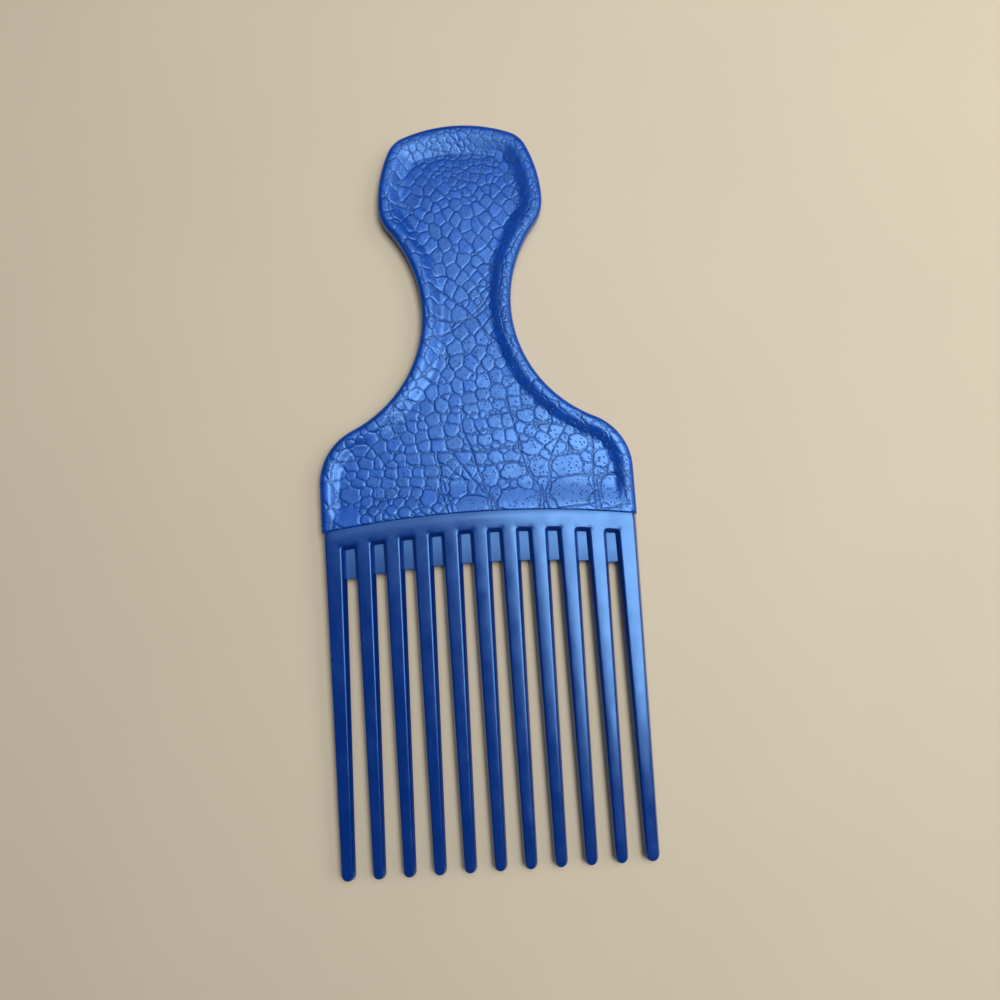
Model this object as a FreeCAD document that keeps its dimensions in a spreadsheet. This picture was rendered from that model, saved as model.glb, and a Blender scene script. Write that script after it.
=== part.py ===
import FreeCAD, Part
import math
import os
import Sketcher
from FreeCAD import Vector

# Afro pick: a dished handle with a raised rim, a smooth arched bar, eleven long teeth and the
# thin webs between their roots. Each piece is drawn with Y along the pick, zero where the seam
# crosses the centre line, the handle above and the teeth below, and with Z zero halfway
# through the thickness. The placements then set the pick down on its back.

# Driving dimensions, in millimetres, and degrees for the angle.
SIZES = (
    ("thickness", 4.4, "rim, comb bar and tooth roots"),
    ("neck_width", 21.7, "narrowest width of the handle"),
    ("neck_height", 49.4, "seam to the narrowest place"),
    ("cap_width", 40.3, "widest width of the head of the handle"),
    ("cap_height", 19.95, "widest place of the head to the crown"),
    ("shoulder_radius", 14.0, "round of each shoulder"),
    ("flare_radius", 31.0, "hollow from the shoulder up to the neck"),
    ("throat_radius", 34.0, "hollow from the neck up to the head"),
    ("jaw_radius", 10.0, "round under each side of the head"),
    ("cap_side_radius", 32.5, "bulge of each side of the head"),
    ("cap_corner_radius", 7.0, "round of each upper corner"),
    ("crown_radius", 36.0, "bulge of the top edge"),
    ("rim_width", 4.6, "outline to the edge of the blade"),
    ("rim_ledge", 0.3, "flat strip of the rim beside the blade"),
    ("crest_inset", 2.1, "outline to the inner edge of the crest"),
    ("rim_edge_radius", 1.4, "round of the outer edge of the rim"),
    ("blade_thickness", 2.6, "handle at the bottom of the dish"),
    ("dish_setback", 0.6, "seam to the start of the dish"),
    ("dish_ramp", 7.0, "seam to the flat bottom of the dish"),
    ("seam_radius", 252.0, "arch of the seam"),
    ("handle_overhang", 0.2, "handle proud of the comb at each side"),
    ("bar_height", 5.0, "seam to the ends of the slots"),
    ("tooth_count", 11, "number of teeth"),
    ("tooth_pitch", 6.8, "centre to centre of the teeth"),
    ("tooth_root_width", 5.0, "tooth inside the bar"),
    ("tooth_tip_width", 3.1, "tooth at its rounded tip"),
    ("tooth_reach", 81.0, "seam to the line of the tips"),
    ("tip_thickness", 2.6, "tooth at its tip"),
    ("edge_tooth_extra", 0.3, "extra width of the first and last tooth"),
    ("draft_angle", 20.0, "slope of the sides of the teeth"),
    ("web_length", 6.8, "end of the slot to the free edge of the web"),
    ("web_thickness", 1.0, "web between two roots"),
)

START_INDEX, END_INDEX, CENTRE_INDEX = 1, 2, 3
X_AXIS_INDEX, Y_AXIS_INDEX = -1, -2
ORIGIN = (X_AXIS_INDEX, START_INDEX)
UP = Vector(0, 0, 1)
TOLERANCE = 1e-4

doc = FreeCAD.newDocument("afro_pick")
sheet = doc.addObject("Spreadsheet::Sheet", "Sizes")
for row, (alias, number, meaning) in enumerate(SIZES, start=1):
    sheet.set(f"A{row}", meaning)
    sheet.set(f"B{row}", str(number))
    sheet.setAlias(f"B{row}", alias)
doc.recompute()

# Expressions that several pieces share.
COMB_HALF = (
    "(((Sizes.tooth_count - 1) * Sizes.tooth_pitch + Sizes.tooth_root_width) / 2"
    " + Sizes.edge_tooth_extra)"
)
HANDLE_HALF = f"({COMB_HALF} + Sizes.handle_overhang)"
HALF_THICKNESS = "(Sizes.thickness / 2)"
JAW_REACH = "(Sizes.throat_radius + Sizes.jaw_radius)"
WIDEST_Y = (
    f"(Sizes.neck_height + sqrt({JAW_REACH}^2"
    f" - ((Sizes.neck_width - Sizes.cap_width) / 2 + {JAW_REACH})^2))"
)
CROWN_Y = f"({WIDEST_Y} + Sizes.cap_height)"
MIDDLE_Y = f"(({CROWN_Y} - Sizes.tooth_reach) / 2)"
SLOT_ARC_RADIUS = "(Sizes.seam_radius - Sizes.bar_height)"
MID_BAR_RADIUS = "(Sizes.seam_radius - Sizes.bar_height / 2)"


def value(expression):
    """Return the number that an expression on the sheet gives."""
    return float(sheet.evalExpression(expression))


def arch_height(radius, across):
    """Return the expression for the height of an arc about the seam's centre, off the centre line."""
    return f"(sqrt({radius}^2 - ({across})^2) - Sizes.seam_radius)"


def origin_plane(body, role):
    """Return one of the body's own origin planes."""
    return next(plane for plane in body.Origin.OriginFeatures if plane.Role == role)


def new_body(label, across="0"):
    """Make a body laid on its back, centred along the pick, and moved across it."""
    body = doc.addObject("PartDesign::Body", label)
    body.Label = label
    body.setExpression("Placement.Base.x", across)
    body.setExpression("Placement.Base.y", f"-{MIDDLE_Y}")
    body.setExpression("Placement.Base.z", HALF_THICKNESS)
    return body


def new_sketch(body, name, role="XY_Plane", level="0"):
    """Make a sketch on one of the body's origin planes, raised to a level."""
    sketch = body.newObject("Sketcher::SketchObject", f"{body.Label}_{name}")
    sketch.AttachmentSupport = [(origin_plane(body, role), "")]
    sketch.MapMode = "FlatFace"
    sketch.setExpression("AttachmentOffset.Base.z", level)
    return sketch


def fix(sketch, kind, *places, by):
    """Add a constraint whose size follows an expression."""
    index = sketch.addConstraint(Sketcher.Constraint(kind, *places, value(by)))
    sketch.setExpression(f"Constraints[{index}]", by)


def hold(sketch, kind, *places):
    """Add a constraint that has no size."""
    sketch.addConstraint(Sketcher.Constraint(kind, *places))


def add_arc(sketch, centre, radius, first, last):
    """Add an arc that runs anticlockwise between two angles."""
    circle = Part.Circle(Vector(*centre, 0), UP, radius)
    return sketch.addGeometry(Part.ArcOfCircle(circle, first, last))


def add_line(sketch, start, end):
    """Add a straight line."""
    return sketch.addGeometry(Part.LineSegment(Vector(*start, 0), Vector(*end, 0)))


def add_polygon(sketch, corners):
    """Add a closed chain of lines and return their numbers."""
    lines = []
    for start, end in zip(corners, corners[1:] + corners[:1]):
        lines.append(add_line(sketch, start, end))
    for line, following in zip(lines, lines[1:] + lines[:1]):
        hold(sketch, "Coincident", line, END_INDEX, following, START_INDEX)
    return lines


def fix_across(sketch, side, geometry, end, by):
    """Fix a point's distance from the centre line, on the right (1) or on the left (-1)."""
    places = (*ORIGIN, geometry, end) if side > 0 else (geometry, end, *ORIGIN)
    fix(sketch, "DistanceX", *places, by=by)


def add_arch(sketch, radius, setback, half):
    """Add an arc about the seam's centre, moved up by a setback and reaching half to each side."""
    size = value(radius)
    centre = value(f"{setback} - Sizes.seam_radius")
    lean = math.asin(value(half) / size)
    arch = add_arc(sketch, (0, centre), size, math.pi / 2 - lean, math.pi / 2 + lean)
    hold(sketch, "PointOnObject", arch, CENTRE_INDEX, Y_AXIS_INDEX)
    fix(sketch, "Radius", arch, by=radius)
    fix(sketch, "DistanceY", arch, CENTRE_INDEX, *ORIGIN, by=f"Sizes.seam_radius - ({setback})")
    return arch


def circle_crossing(first, first_radius, second, second_radius):
    """Return the right-hand point at given distances from two centres."""
    across = second[0] - first[0]
    along = second[1] - first[1]
    apart = math.hypot(across, along)
    reach = (first_radius**2 - second_radius**2 + apart**2) / (2 * apart)
    rise = math.sqrt(first_radius**2 - reach**2)
    middle = (first[0] + across * reach / apart, first[1] + along * reach / apart)
    return max(
        (middle[0] + sign * rise * along / apart, middle[1] - sign * rise * across / apart)
        for sign in (1, -1)
    )


def bearing(centre, point):
    """Return the angle at which a point is seen from a centre."""
    return math.atan2(point[1] - centre[1], point[0] - centre[0])


# Each arc of the handle's right side, from the shoulder up: its radius, and +1 where it is
# hollow or -1 where it bulges, which is how it grows when the outline is drawn in.
SIDE_ARCS = (
    ("Sizes.shoulder_radius", -1),
    ("Sizes.flare_radius", 1),
    ("Sizes.throat_radius", 1),
    ("Sizes.jaw_radius", -1),
    ("Sizes.cap_side_radius", -1),
    ("Sizes.cap_corner_radius", -1),
)
FLARE_INDEX, JAW_INDEX = 2, 4


def side_arcs(inset):
    """Return the right side's tangent arcs as centre, radius, first and last angle, and the crown's."""
    shoulder, flare, throat, jaw, cap_side, corner = (
        value(f"{radius} + {grows} * ({inset})") for radius, grows in SIDE_ARCS
    )
    crown = value(f"Sizes.crown_radius - ({inset})")
    neck_y = value("Sizes.neck_height")
    shoulder_x = value(f"{HANDLE_HALF} - Sizes.shoulder_radius")
    flare_at = (value("Sizes.neck_width / 2 + Sizes.flare_radius"), neck_y)
    throat_at = (value("Sizes.neck_width / 2 + Sizes.throat_radius"), neck_y)
    shoulder_drop = math.sqrt((shoulder + flare) ** 2 - (flare_at[0] - shoulder_x) ** 2)
    shoulder_at = (shoulder_x, neck_y - shoulder_drop)
    jaw_at = (value("Sizes.cap_width / 2 - Sizes.jaw_radius"), value(WIDEST_Y))
    cap_side_at = (value("Sizes.cap_width / 2 - Sizes.cap_side_radius"), jaw_at[1])
    crown_at = (0, value(f"{CROWN_Y} - Sizes.crown_radius"))
    corner_at = circle_crossing(cap_side_at, cap_side - corner, crown_at, crown - corner)
    crown_lean = bearing(crown_at, corner_at)
    arcs = (
        (shoulder_at, shoulder, 0, bearing(shoulder_at, flare_at)),
        (flare_at, flare, math.pi, 2 * math.pi + bearing(flare_at, shoulder_at)),
        (throat_at, throat, bearing(throat_at, jaw_at), math.pi),
        (jaw_at, jaw, bearing(jaw_at, throat_at), 0),
        (cap_side_at, cap_side, 0, bearing(cap_side_at, corner_at)),
        (corner_at, corner, bearing(cap_side_at, corner_at), crown_lean),
    )
    return arcs, (crown_at, crown, crown_lean, math.pi - crown_lean)


def handle_outline(body, name, inset="0", setback="0", level="0"):
    """Draw the handle's outline, drawn in by an inset and ending at the seam moved by a setback."""
    sketch = new_sketch(body, name, level=level)
    half = f"({HANDLE_HALF} - ({inset}))"
    arcs, crown_arc = side_arcs(inset)
    arch = add_arch(sketch, "Sizes.seam_radius", setback, half)
    crown = add_arc(sketch, *crown_arc)
    hold(sketch, "PointOnObject", crown, CENTRE_INDEX, Y_AXIS_INDEX)
    fix(sketch, "Radius", crown, by=f"Sizes.crown_radius - ({inset})")
    fix(sketch, "DistanceY", *ORIGIN, crown, CENTRE_INDEX, by=f"{CROWN_Y} - Sizes.crown_radius")
    foot_y = value(arch_height("Sizes.seam_radius", half)) + value(setback)
    for side, outer_end in ((1, START_INDEX), (-1, END_INDEX)):
        inner_end = START_INDEX + END_INDEX - outer_end
        across = side * value(half)
        line = add_line(sketch, (across, foot_y), (across, arcs[0][0][1]))
        hold(sketch, "Vertical", line)
        hold(sketch, "Coincident", arch, outer_end, line, START_INDEX)
        fix_across(sketch, side, line, START_INDEX, half)
        chain = [(line, START_INDEX, END_INDEX)]
        for (centre, radius, first, last), (name_of_radius, grows) in zip(arcs, SIDE_ARCS):
            if side < 0:
                first, last = math.pi - last, math.pi - first
            arc = add_arc(sketch, (side * centre[0], centre[1]), radius, first, last)
            fix(sketch, "Radius", arc, by=f"{name_of_radius} + {grows} * ({inset})")
            chain.append((arc, outer_end, inner_end) if grows < 0 else (arc, inner_end, outer_end))
        chain.append((crown, outer_end, inner_end))
        for (lower, _, upper_end), (upper, lower_end, _) in zip(chain, chain[1:]):
            hold(sketch, "Tangent", lower, upper_end, upper, lower_end)
        flare, _, neck_end = chain[FLARE_INDEX]
        hold(sketch, "Horizontal", flare, CENTRE_INDEX, flare, neck_end)
        fix_across(sketch, side, flare, neck_end, f"Sizes.neck_width / 2 - ({inset})")
        fix(sketch, "DistanceY", *ORIGIN, flare, neck_end, by="Sizes.neck_height")
        jaw, _, widest_end = chain[JAW_INDEX]
        hold(sketch, "Horizontal", jaw, CENTRE_INDEX, jaw, widest_end)
        fix_across(sketch, side, jaw, widest_end, f"Sizes.cap_width / 2 - ({inset})")
    return sketch


def pad(body, sketch, name, length):
    """Raise a sketch to both sides alike."""
    feature = body.newObject("PartDesign::Pad", f"{body.Label}_{name}")
    feature.Profile = sketch
    feature.SideType = "Symmetric"
    feature.setExpression("Length", length)
    return feature


def drafted_pad(body, sketch, name):
    """Raise a sketch from the parting plane to both faces, closing in by the draft angle."""
    feature = pad(body, sketch, name, "Sizes.thickness")
    feature.setExpression("TaperAngle", "-Sizes.draft_angle")


def cut_through(body, sketch, name):
    """Cut a sketch through the body to both sides."""
    feature = body.newObject("PartDesign::Pocket", f"{body.Label}_{name}")
    feature.Profile = sketch
    feature.SideType = "Symmetric"
    feature.Type = "ThroughAll"
    return feature


def round_edges(body, base, name, radius, chosen):
    """Round the edges of the last feature whose middles are chosen."""
    doc.recompute()
    names = []
    for number, edge in enumerate(base.Shape.Edges, start=1):
        middle = edge.valueAt((edge.FirstParameter + edge.LastParameter) / 2)
        if chosen(middle):
            names.append(f"Edge{number}")
    feature = body.newObject("PartDesign::Fillet", f"{body.Label}_{name}")
    feature.Base = (base, names)
    feature.setExpression("Radius", radius)
    return feature


def on_face_edge(point):
    """Tell whether a point lies on the front or the back plane of the pick."""
    return abs(abs(point.z) - value(HALF_THICKNESS)) < TOLERANCE


def dish(body):
    """Sink the dish into both faces: a sloping wall from the crest down to the flat bottom."""
    crest = handle_outline(
        body, "crest", "Sizes.crest_inset", "Sizes.dish_setback", HALF_THICKNESS
    )
    bottom = handle_outline(
        body, "bottom", "(Sizes.rim_width - Sizes.rim_ledge)", "Sizes.dish_ramp",
        "Sizes.blade_thickness / 2",
    )
    front = body.newObject("PartDesign::SubtractiveLoft", f"{body.Label}_front_dish")
    front.Profile = crest
    front.Sections = [bottom]
    front.Ruled = True
    back = body.newObject("PartDesign::Mirrored", f"{body.Label}_back_dish")
    back.Originals = [front]
    back.MirrorPlane = (origin_plane(body, "XY_Plane"), [""])
    body.Tip = back


def make_handle_rim():
    """Make the raised rim: a rounded band along the outline, hollow where the blade sits."""
    body = new_body("handle_rim")
    plate = pad(body, handle_outline(body, "outline"), "plate", "Sizes.thickness")
    seam_radius = value("Sizes.seam_radius")

    def on_outline(point):
        on_seam = abs(math.hypot(point.x, point.y + seam_radius) - seam_radius) < TOLERANCE
        return on_face_edge(point) and not on_seam

    round_edges(body, plate, "outer_round", "Sizes.rim_edge_radius", on_outline)
    dish(body)
    seat = handle_outline(body, "seat", "Sizes.rim_width", "-Sizes.bar_height")
    body.Tip = cut_through(body, seat, "blade_seat")
    return body


def make_handle_blade():
    """Make the blade: the dished panel that fills the rim and ramps up to the seam."""
    body = new_body("handle_blade")
    pad(body, handle_outline(body, "outline", "Sizes.rim_width"), "plate", "Sizes.thickness")
    dish(body)
    return body


def make_comb_bar():
    """Make the bar: an arched band with drafted sides and slot ends, cut square at the seam."""
    body = new_body("comb_bar")
    past_seam = "(Sizes.bar_height / 2)"
    plan = new_sketch(body, "plan")
    upper = add_arch(plan, "Sizes.seam_radius", past_seam, COMB_HALF)
    lower = add_arch(plan, SLOT_ARC_RADIUS, "0", COMB_HALF)
    half = value(COMB_HALF)
    upper_y = value(f"{arch_height('Sizes.seam_radius', COMB_HALF)} + {past_seam}")
    lower_y = value(arch_height(SLOT_ARC_RADIUS, COMB_HALF))
    for side, end in ((1, START_INDEX), (-1, END_INDEX)):
        line = add_line(plan, (side * half, lower_y), (side * half, upper_y))
        hold(plan, "Vertical", line)
        hold(plan, "Coincident", lower, end, line, START_INDEX)
        hold(plan, "Coincident", upper, end, line, END_INDEX)
        fix_across(plan, side, line, START_INDEX, COMB_HALF)
    drafted_pad(body, plan, "band")
    waste = new_sketch(body, "above_seam")
    waste_half = f"({COMB_HALF} + Sizes.bar_height)"
    seam = add_arch(waste, "Sizes.seam_radius", "0", waste_half)
    waste_x, waste_y = value(waste_half), value("Sizes.bar_height")
    seam_end_y = value(arch_height("Sizes.seam_radius", waste_half))
    top = add_line(waste, (waste_x, waste_y), (-waste_x, waste_y))
    hold(waste, "Horizontal", top)
    fix(waste, "DistanceY", *ORIGIN, top, START_INDEX, by="Sizes.bar_height")
    for side, end in ((1, START_INDEX), (-1, END_INDEX)):
        line = add_line(waste, (side * waste_x, seam_end_y), (side * waste_x, waste_y))
        hold(waste, "Vertical", line)
        hold(waste, "Coincident", seam, end, line, START_INDEX)
        hold(waste, "Coincident", top, end, line, END_INDEX)
        fix_across(waste, side, line, START_INDEX, waste_half)
    cut_through(body, waste, "seam_cut")
    return body


def tooth_place(number):
    """Return a tooth's place across the pick and its extra width, as expressions."""
    across = f"(({number} - (Sizes.tooth_count + 1) / 2) * Sizes.tooth_pitch)"
    outer = {1: -1, int(value("Sizes.tooth_count")): 1}.get(number, 0)
    return f"({across} + {outer} * Sizes.edge_tooth_extra / 2)", f"({abs(outer)} * Sizes.edge_tooth_extra)"


def make_tooth_blank(number):
    """Make a whole tooth: drafted sides, a rounded tip, and faces that close in towards the tip."""
    across, extra = tooth_place(number)
    body = new_body(f"tooth_{number:02d}_blank", across)
    root_half = f"((Sizes.tooth_root_width + {extra}) / 2)"
    tip_radius = f"((Sizes.tooth_tip_width + {extra}) / 2)"
    root_drop = f"(-{arch_height(MID_BAR_RADIUS, across)})"
    tip_drop = f"(Sizes.tooth_reach - {tip_radius})"
    plan = new_sketch(body, "plan")
    tip = add_arc(plan, (0, -value(tip_drop)), value(tip_radius), math.pi, 2 * math.pi)
    hold(plan, "PointOnObject", tip, CENTRE_INDEX, Y_AXIS_INDEX)
    fix(plan, "Radius", tip, by=tip_radius)
    fix(plan, "DistanceY", tip, CENTRE_INDEX, *ORIGIN, by=tip_drop)
    top = add_line(plan, (-value(root_half), -value(root_drop)), (value(root_half), -value(root_drop)))
    hold(plan, "Horizontal", top)
    fix(plan, "DistanceY", top, START_INDEX, *ORIGIN, by=root_drop)
    for side, tip_end, top_end in ((-1, START_INDEX, START_INDEX), (1, END_INDEX, END_INDEX)):
        flank = add_line(
            plan,
            (side * value(tip_radius), -value(tip_drop)),
            (side * value(root_half), -value(root_drop)),
        )
        hold(plan, "Tangent", flank, START_INDEX, tip, tip_end)
        hold(plan, "Coincident", flank, END_INDEX, top, top_end)
        fix_across(plan, side, top, top_end, root_half)
    drafted_pad(body, plan, "blank")
    side_view = new_sketch(body, "side_view", "YZ_Plane")
    for face in (1, -1):
        root = (-value(root_drop), face * value(HALF_THICKNESS))
        end = (-value("Sizes.tooth_reach"), face * value("Sizes.tip_thickness / 2"))
        above = face * value("Sizes.thickness")
        slope, drop, _, rise = add_polygon(side_view, [root, end, (end[0], above), (root[0], above)])
        hold(side_view, "Vertical", drop)
        hold(side_view, "Vertical", rise)
        fix(side_view, "DistanceX", slope, START_INDEX, *ORIGIN, by=root_drop)
        fix(side_view, "DistanceX", slope, END_INDEX, *ORIGIN, by="Sizes.tooth_reach")
        heights = (
            (slope, START_INDEX, HALF_THICKNESS),
            (slope, END_INDEX, "Sizes.tip_thickness / 2"),
            (drop, END_INDEX, "Sizes.thickness"),
            (rise, START_INDEX, "Sizes.thickness"),
        )
        for line, end_of_line, height in heights:
            places = (*ORIGIN, line, end_of_line) if face > 0 else (line, end_of_line, *ORIGIN)
            fix(side_view, "DistanceY", *places, by=height)
    cut_through(body, side_view, "taper")
    return body


def make_web_blank(number):
    """Make a flat web blank that reaches from tooth to tooth, and up into the bar."""
    across = f"(({number} - Sizes.tooth_count / 2) * Sizes.tooth_pitch)"
    body = new_body(f"root_web_{number:02d}_blank", across)
    top_drop = f"(-{arch_height(MID_BAR_RADIUS, across)})"
    end_drop = f"(Sizes.web_length - {arch_height(SLOT_ARC_RADIUS, across)})"
    half, top_y, end_y = value("Sizes.tooth_pitch / 2"), -value(top_drop), -value(end_drop)
    plan = new_sketch(body, "plan")
    corners = [(-half, end_y), (half, end_y), (half, top_y), (-half, top_y)]
    lower, right, upper, left = add_polygon(plan, corners)
    for line in (lower, upper):
        hold(plan, "Horizontal", line)
    for line in (right, left):
        hold(plan, "Vertical", line)
    fix(plan, "DistanceY", lower, START_INDEX, *ORIGIN, by=end_drop)
    fix(plan, "DistanceY", upper, START_INDEX, *ORIGIN, by=top_drop)
    fix_across(plan, -1, lower, START_INDEX, "Sizes.tooth_pitch / 2")
    fix_across(plan, 1, lower, END_INDEX, "Sizes.tooth_pitch / 2")
    pad(body, plan, "plate", "Sizes.web_thickness")
    return body


def cut(label, base, tool):
    """Trim a blank where another piece already is, so that the two meet face to face."""
    result = doc.addObject("Part::Cut", label)
    result.Label = label
    result.Base = base
    result.Tool = tool
    return result


def make_comb(bar):
    """Make the teeth and the webs, trimmed to the bar and to each other."""
    count = int(value("Sizes.tooth_count"))
    blanks = [make_tooth_blank(number) for number in range(1, count + 1)]
    teeth = [cut(f"tooth_{number:02d}", blank, bar) for number, blank in enumerate(blanks, start=1)]
    webs = []
    for number in range(1, count):
        left_trim = cut(f"web_{number:02d}_left_trim", make_web_blank(number), blanks[number - 1])
        right_trim = cut(f"web_{number:02d}_right_trim", left_trim, blanks[number])
        webs.append(cut(f"root_web_{number:02d}", right_trim, bar))
    return teeth + webs


def check(pieces):
    """Stop if a feature failed or a piece is not one valid solid."""
    doc.recompute()
    for item in doc.Objects:
        if {"Invalid", "Error"} & set(item.State):
            raise RuntimeError(f"{item.Label} failed: {item.State}")
    for piece in pieces:
        shape = piece.Shape
        if shape.isNull() or not shape.isValid() or len(shape.Solids) != 1:
            raise RuntimeError(f"{piece.Label} is not one valid solid")


def main():
    """Make every piece, check them and write them out."""
    bar = make_comb_bar()
    pieces = [make_handle_rim(), make_handle_blade(), bar] + make_comb(bar)
    check(pieces)
    os.makedirs("parts", exist_ok=True)
    for piece in pieces:
        piece.Shape.exportStep(f"parts/{piece.Label}.step")
        print(f"{piece.Label}: {piece.Shape.Volume:.1f} mm3")


main()
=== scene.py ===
import itertools
import math

import bpy
import numpy as np
from mathutils import Matrix, Vector
from mathutils.geometry import delaunay_2d_cdt


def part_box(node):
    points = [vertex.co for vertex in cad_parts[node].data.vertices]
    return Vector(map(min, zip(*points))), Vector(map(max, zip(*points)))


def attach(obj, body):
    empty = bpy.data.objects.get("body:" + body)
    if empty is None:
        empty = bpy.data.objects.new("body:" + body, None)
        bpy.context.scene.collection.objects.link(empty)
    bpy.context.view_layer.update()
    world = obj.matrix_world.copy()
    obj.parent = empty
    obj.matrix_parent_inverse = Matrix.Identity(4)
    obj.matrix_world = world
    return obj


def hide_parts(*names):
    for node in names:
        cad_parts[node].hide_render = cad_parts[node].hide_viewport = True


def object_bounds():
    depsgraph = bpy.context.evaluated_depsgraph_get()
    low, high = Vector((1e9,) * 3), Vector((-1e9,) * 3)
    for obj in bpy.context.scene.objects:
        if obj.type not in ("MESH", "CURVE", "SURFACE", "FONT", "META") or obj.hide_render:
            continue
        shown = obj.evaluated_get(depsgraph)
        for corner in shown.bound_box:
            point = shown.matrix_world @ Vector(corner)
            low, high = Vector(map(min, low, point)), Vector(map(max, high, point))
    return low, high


# Afro pick, moulded in one piece: a dished handle with a raised rim and a reptile grain on both
# faces, a smooth arched bar, eleven drafted teeth and the thin webs between their roots.
# Shapes are worked out in millimetres, with X across, Y along and zero where the seam crosses
# the centre line, and Z measured from the parting plane halfway through the thickness.

bl_info = {
    "name": "Afro Pick",
    "version": (1, 0, 0),
    "blender": (4, 5, 0),
    "location": "View3D > Sidebar > Afro Pick",
    "description": "Builds a moulded afro pick with a reptile grained handle",
    "category": "Add Mesh",
}

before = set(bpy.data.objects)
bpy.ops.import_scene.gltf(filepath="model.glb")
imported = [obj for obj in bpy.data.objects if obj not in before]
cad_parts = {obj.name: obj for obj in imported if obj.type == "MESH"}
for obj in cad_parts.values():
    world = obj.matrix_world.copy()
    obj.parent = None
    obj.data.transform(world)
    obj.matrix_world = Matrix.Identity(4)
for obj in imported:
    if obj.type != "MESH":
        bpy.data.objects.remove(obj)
CAD_LOW, CAD_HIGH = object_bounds()
_, RIM_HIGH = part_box("handle_rim")
_, BAR_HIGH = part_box("comb_bar")
TOOTH_NODES = sorted(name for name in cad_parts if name.startswith("tooth_"))
WEB_NODES = sorted(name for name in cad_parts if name.startswith("root_web_"))

MM = 0.001
TOOTH_REACH = 81.0
SEAM_Y = CAD_LOW.y / MM + TOOTH_REACH
HANDLE_LENGTH = RIM_HIGH.y / MM - SEAM_Y
PARTING_Z = (CAD_LOW.z + CAD_HIGH.z) / 2 / MM
# Level faces stop this far inside the frame's box, in millimetres.
BOX_CLEARANCE = 0.004


def length(name, description, default):
    """Return a property for a length, whose default is given in millimetres."""
    return bpy.props.FloatProperty(
        name=name, description=description, default=default * MM, min=0.0, unit="LENGTH", precision=5
    )


def share(name, description, default, top=1.0):
    """Return a property for a plain number from zero up."""
    return bpy.props.FloatProperty(name=name, description=description, default=default, min=0.0, max=top)


def colour(name, description, default):
    """Return a property for a colour."""
    return bpy.props.FloatVectorProperty(
        name=name, description=description, default=default, size=3, min=0.0, max=1.0, subtype="COLOR"
    )


class PickHandleSizes(bpy.types.PropertyGroup):
    """Sizes of the handle's outline, rim and dish"""

    half_width: length("Half width", "Centre line to the straight side", RIM_HIGH.x / MM)
    neck_width: length("Neck width", "Narrowest width of the handle", 21.7)
    neck_height: length("Neck height", "Seam to the narrowest place", 49.4)
    head_width: length("Head width", "Widest width of the head", 40.3)
    shoulder_radius: length("Shoulder radius", "Round of each shoulder", 14.0)
    flare_radius: length("Flare radius", "Hollow from the shoulder to the neck", 31.0)
    throat_radius: length("Throat radius", "Hollow from the neck to the head", 34.0)
    jaw_radius: length("Jaw radius", "Round under each side of the head", 10.0)
    head_side_radius: length("Head side radius", "Bulge of each side of the head", 32.5)
    head_corner_radius: length("Head corner radius", "Round of each upper corner", 7.0)
    crown_radius: length("Crown radius", "Bulge of the top edge", 36.0)
    seam_radius: length("Seam radius", "Arch of the seam", 252.0)
    edge_radius: length("Edge radius", "Round of the outer edge", 1.4)
    crest_width: length("Crest width", "Flat top of the rim beside the round", 0.45)
    dish_depth: length("Dish depth", "Crest of the rim down to the dish", 0.95)
    ramp_length: length("Ramp length", "Seam to the bottom of the dish", 7.0)
    top_scoop: length("Top scoop", "Extra depth of the dish below the crown", 0.45)
    seam_round: length("Seam round", "Width of the rolled edge along the seam", 0.34)
    seam_drop: length("Seam drop", "Depth of the rolled edge along the seam", 0.3)


class PickGrainSettings(bpy.types.PropertyGroup):
    """Sizes of the reptile grain on the handle"""

    scale_size: share("Scale size", "Size of the scales against the drawn layout", 1.0, 3.0)
    groove_depth: length("Groove depth", "Depth of the grooves between scales", 0.095)
    groove_width: length("Groove width", "Half width of the grooves", 0.1)
    dome_height: length("Dome height", "Rise of a scale above its edge", 0.032)
    front_spacing: length("Front spacing", "Distance between mesh points on the front", 0.163)
    back_spacing: length("Back spacing", "Distance between mesh points on the back", 0.18)
    seed: bpy.props.IntProperty(name="Seed", description="Start of the random layout", default=11)


class PickCombSizes(bpy.types.PropertyGroup):
    """Sizes of the bar, the teeth and the webs"""

    half_width: length("Half width", "Centre line to the side of the bar", BAR_HIGH.x / MM)
    bar_height: length("Bar height", "Seam to the ends of the slots", 5.0)
    tooth_pitch: length("Tooth pitch", "Centre to centre of the teeth", 6.8)
    root_width: length("Root width", "Width of a tooth inside the bar", 5.0)
    tip_width: length("Tip width", "Width of a tooth at its tip", 3.1)
    edge_extra: length("Edge tooth extra", "Extra width of the first and last tooth", 0.3)
    tooth_reach: length("Tooth reach", "Seam to the line of the tips", TOOTH_REACH)
    root_thickness: length("Root thickness", "Thickness of the bar and the roots", 4.4)
    tip_thickness: length("Tip thickness", "Thickness of a tooth at its tip", 2.6)
    draft: bpy.props.FloatProperty(
        name="Draft", description="Slope of the drafted sides", default=math.radians(20), subtype="ANGLE"
    )
    top_round: length("Top round", "Softness of the upper edges", 0.8)
    slot_corner: length("Slot corner", "Round of the corners at the ends of the slots", 0.12)
    crown_width: length("Crown width", "Edge to the level middle of a tooth", 2.2)
    crown_drop: length("Crown drop", "Fall of the crowned faces towards their edges", 0.09)
    seam_round: length("Seam round", "Width of the rolled edge along the seam", 1.8)
    seam_drop: length("Seam drop", "Depth of the rolled edge along the seam", 0.15)
    web_length: length("Web length", "End of the slot to the free edge of the web", 6.8)
    web_thickness: length("Web thickness", "Thickness of the webs", 0.6)
    web_edge: length("Web edge", "Round of the edges of the webs", 0.22)


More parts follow.
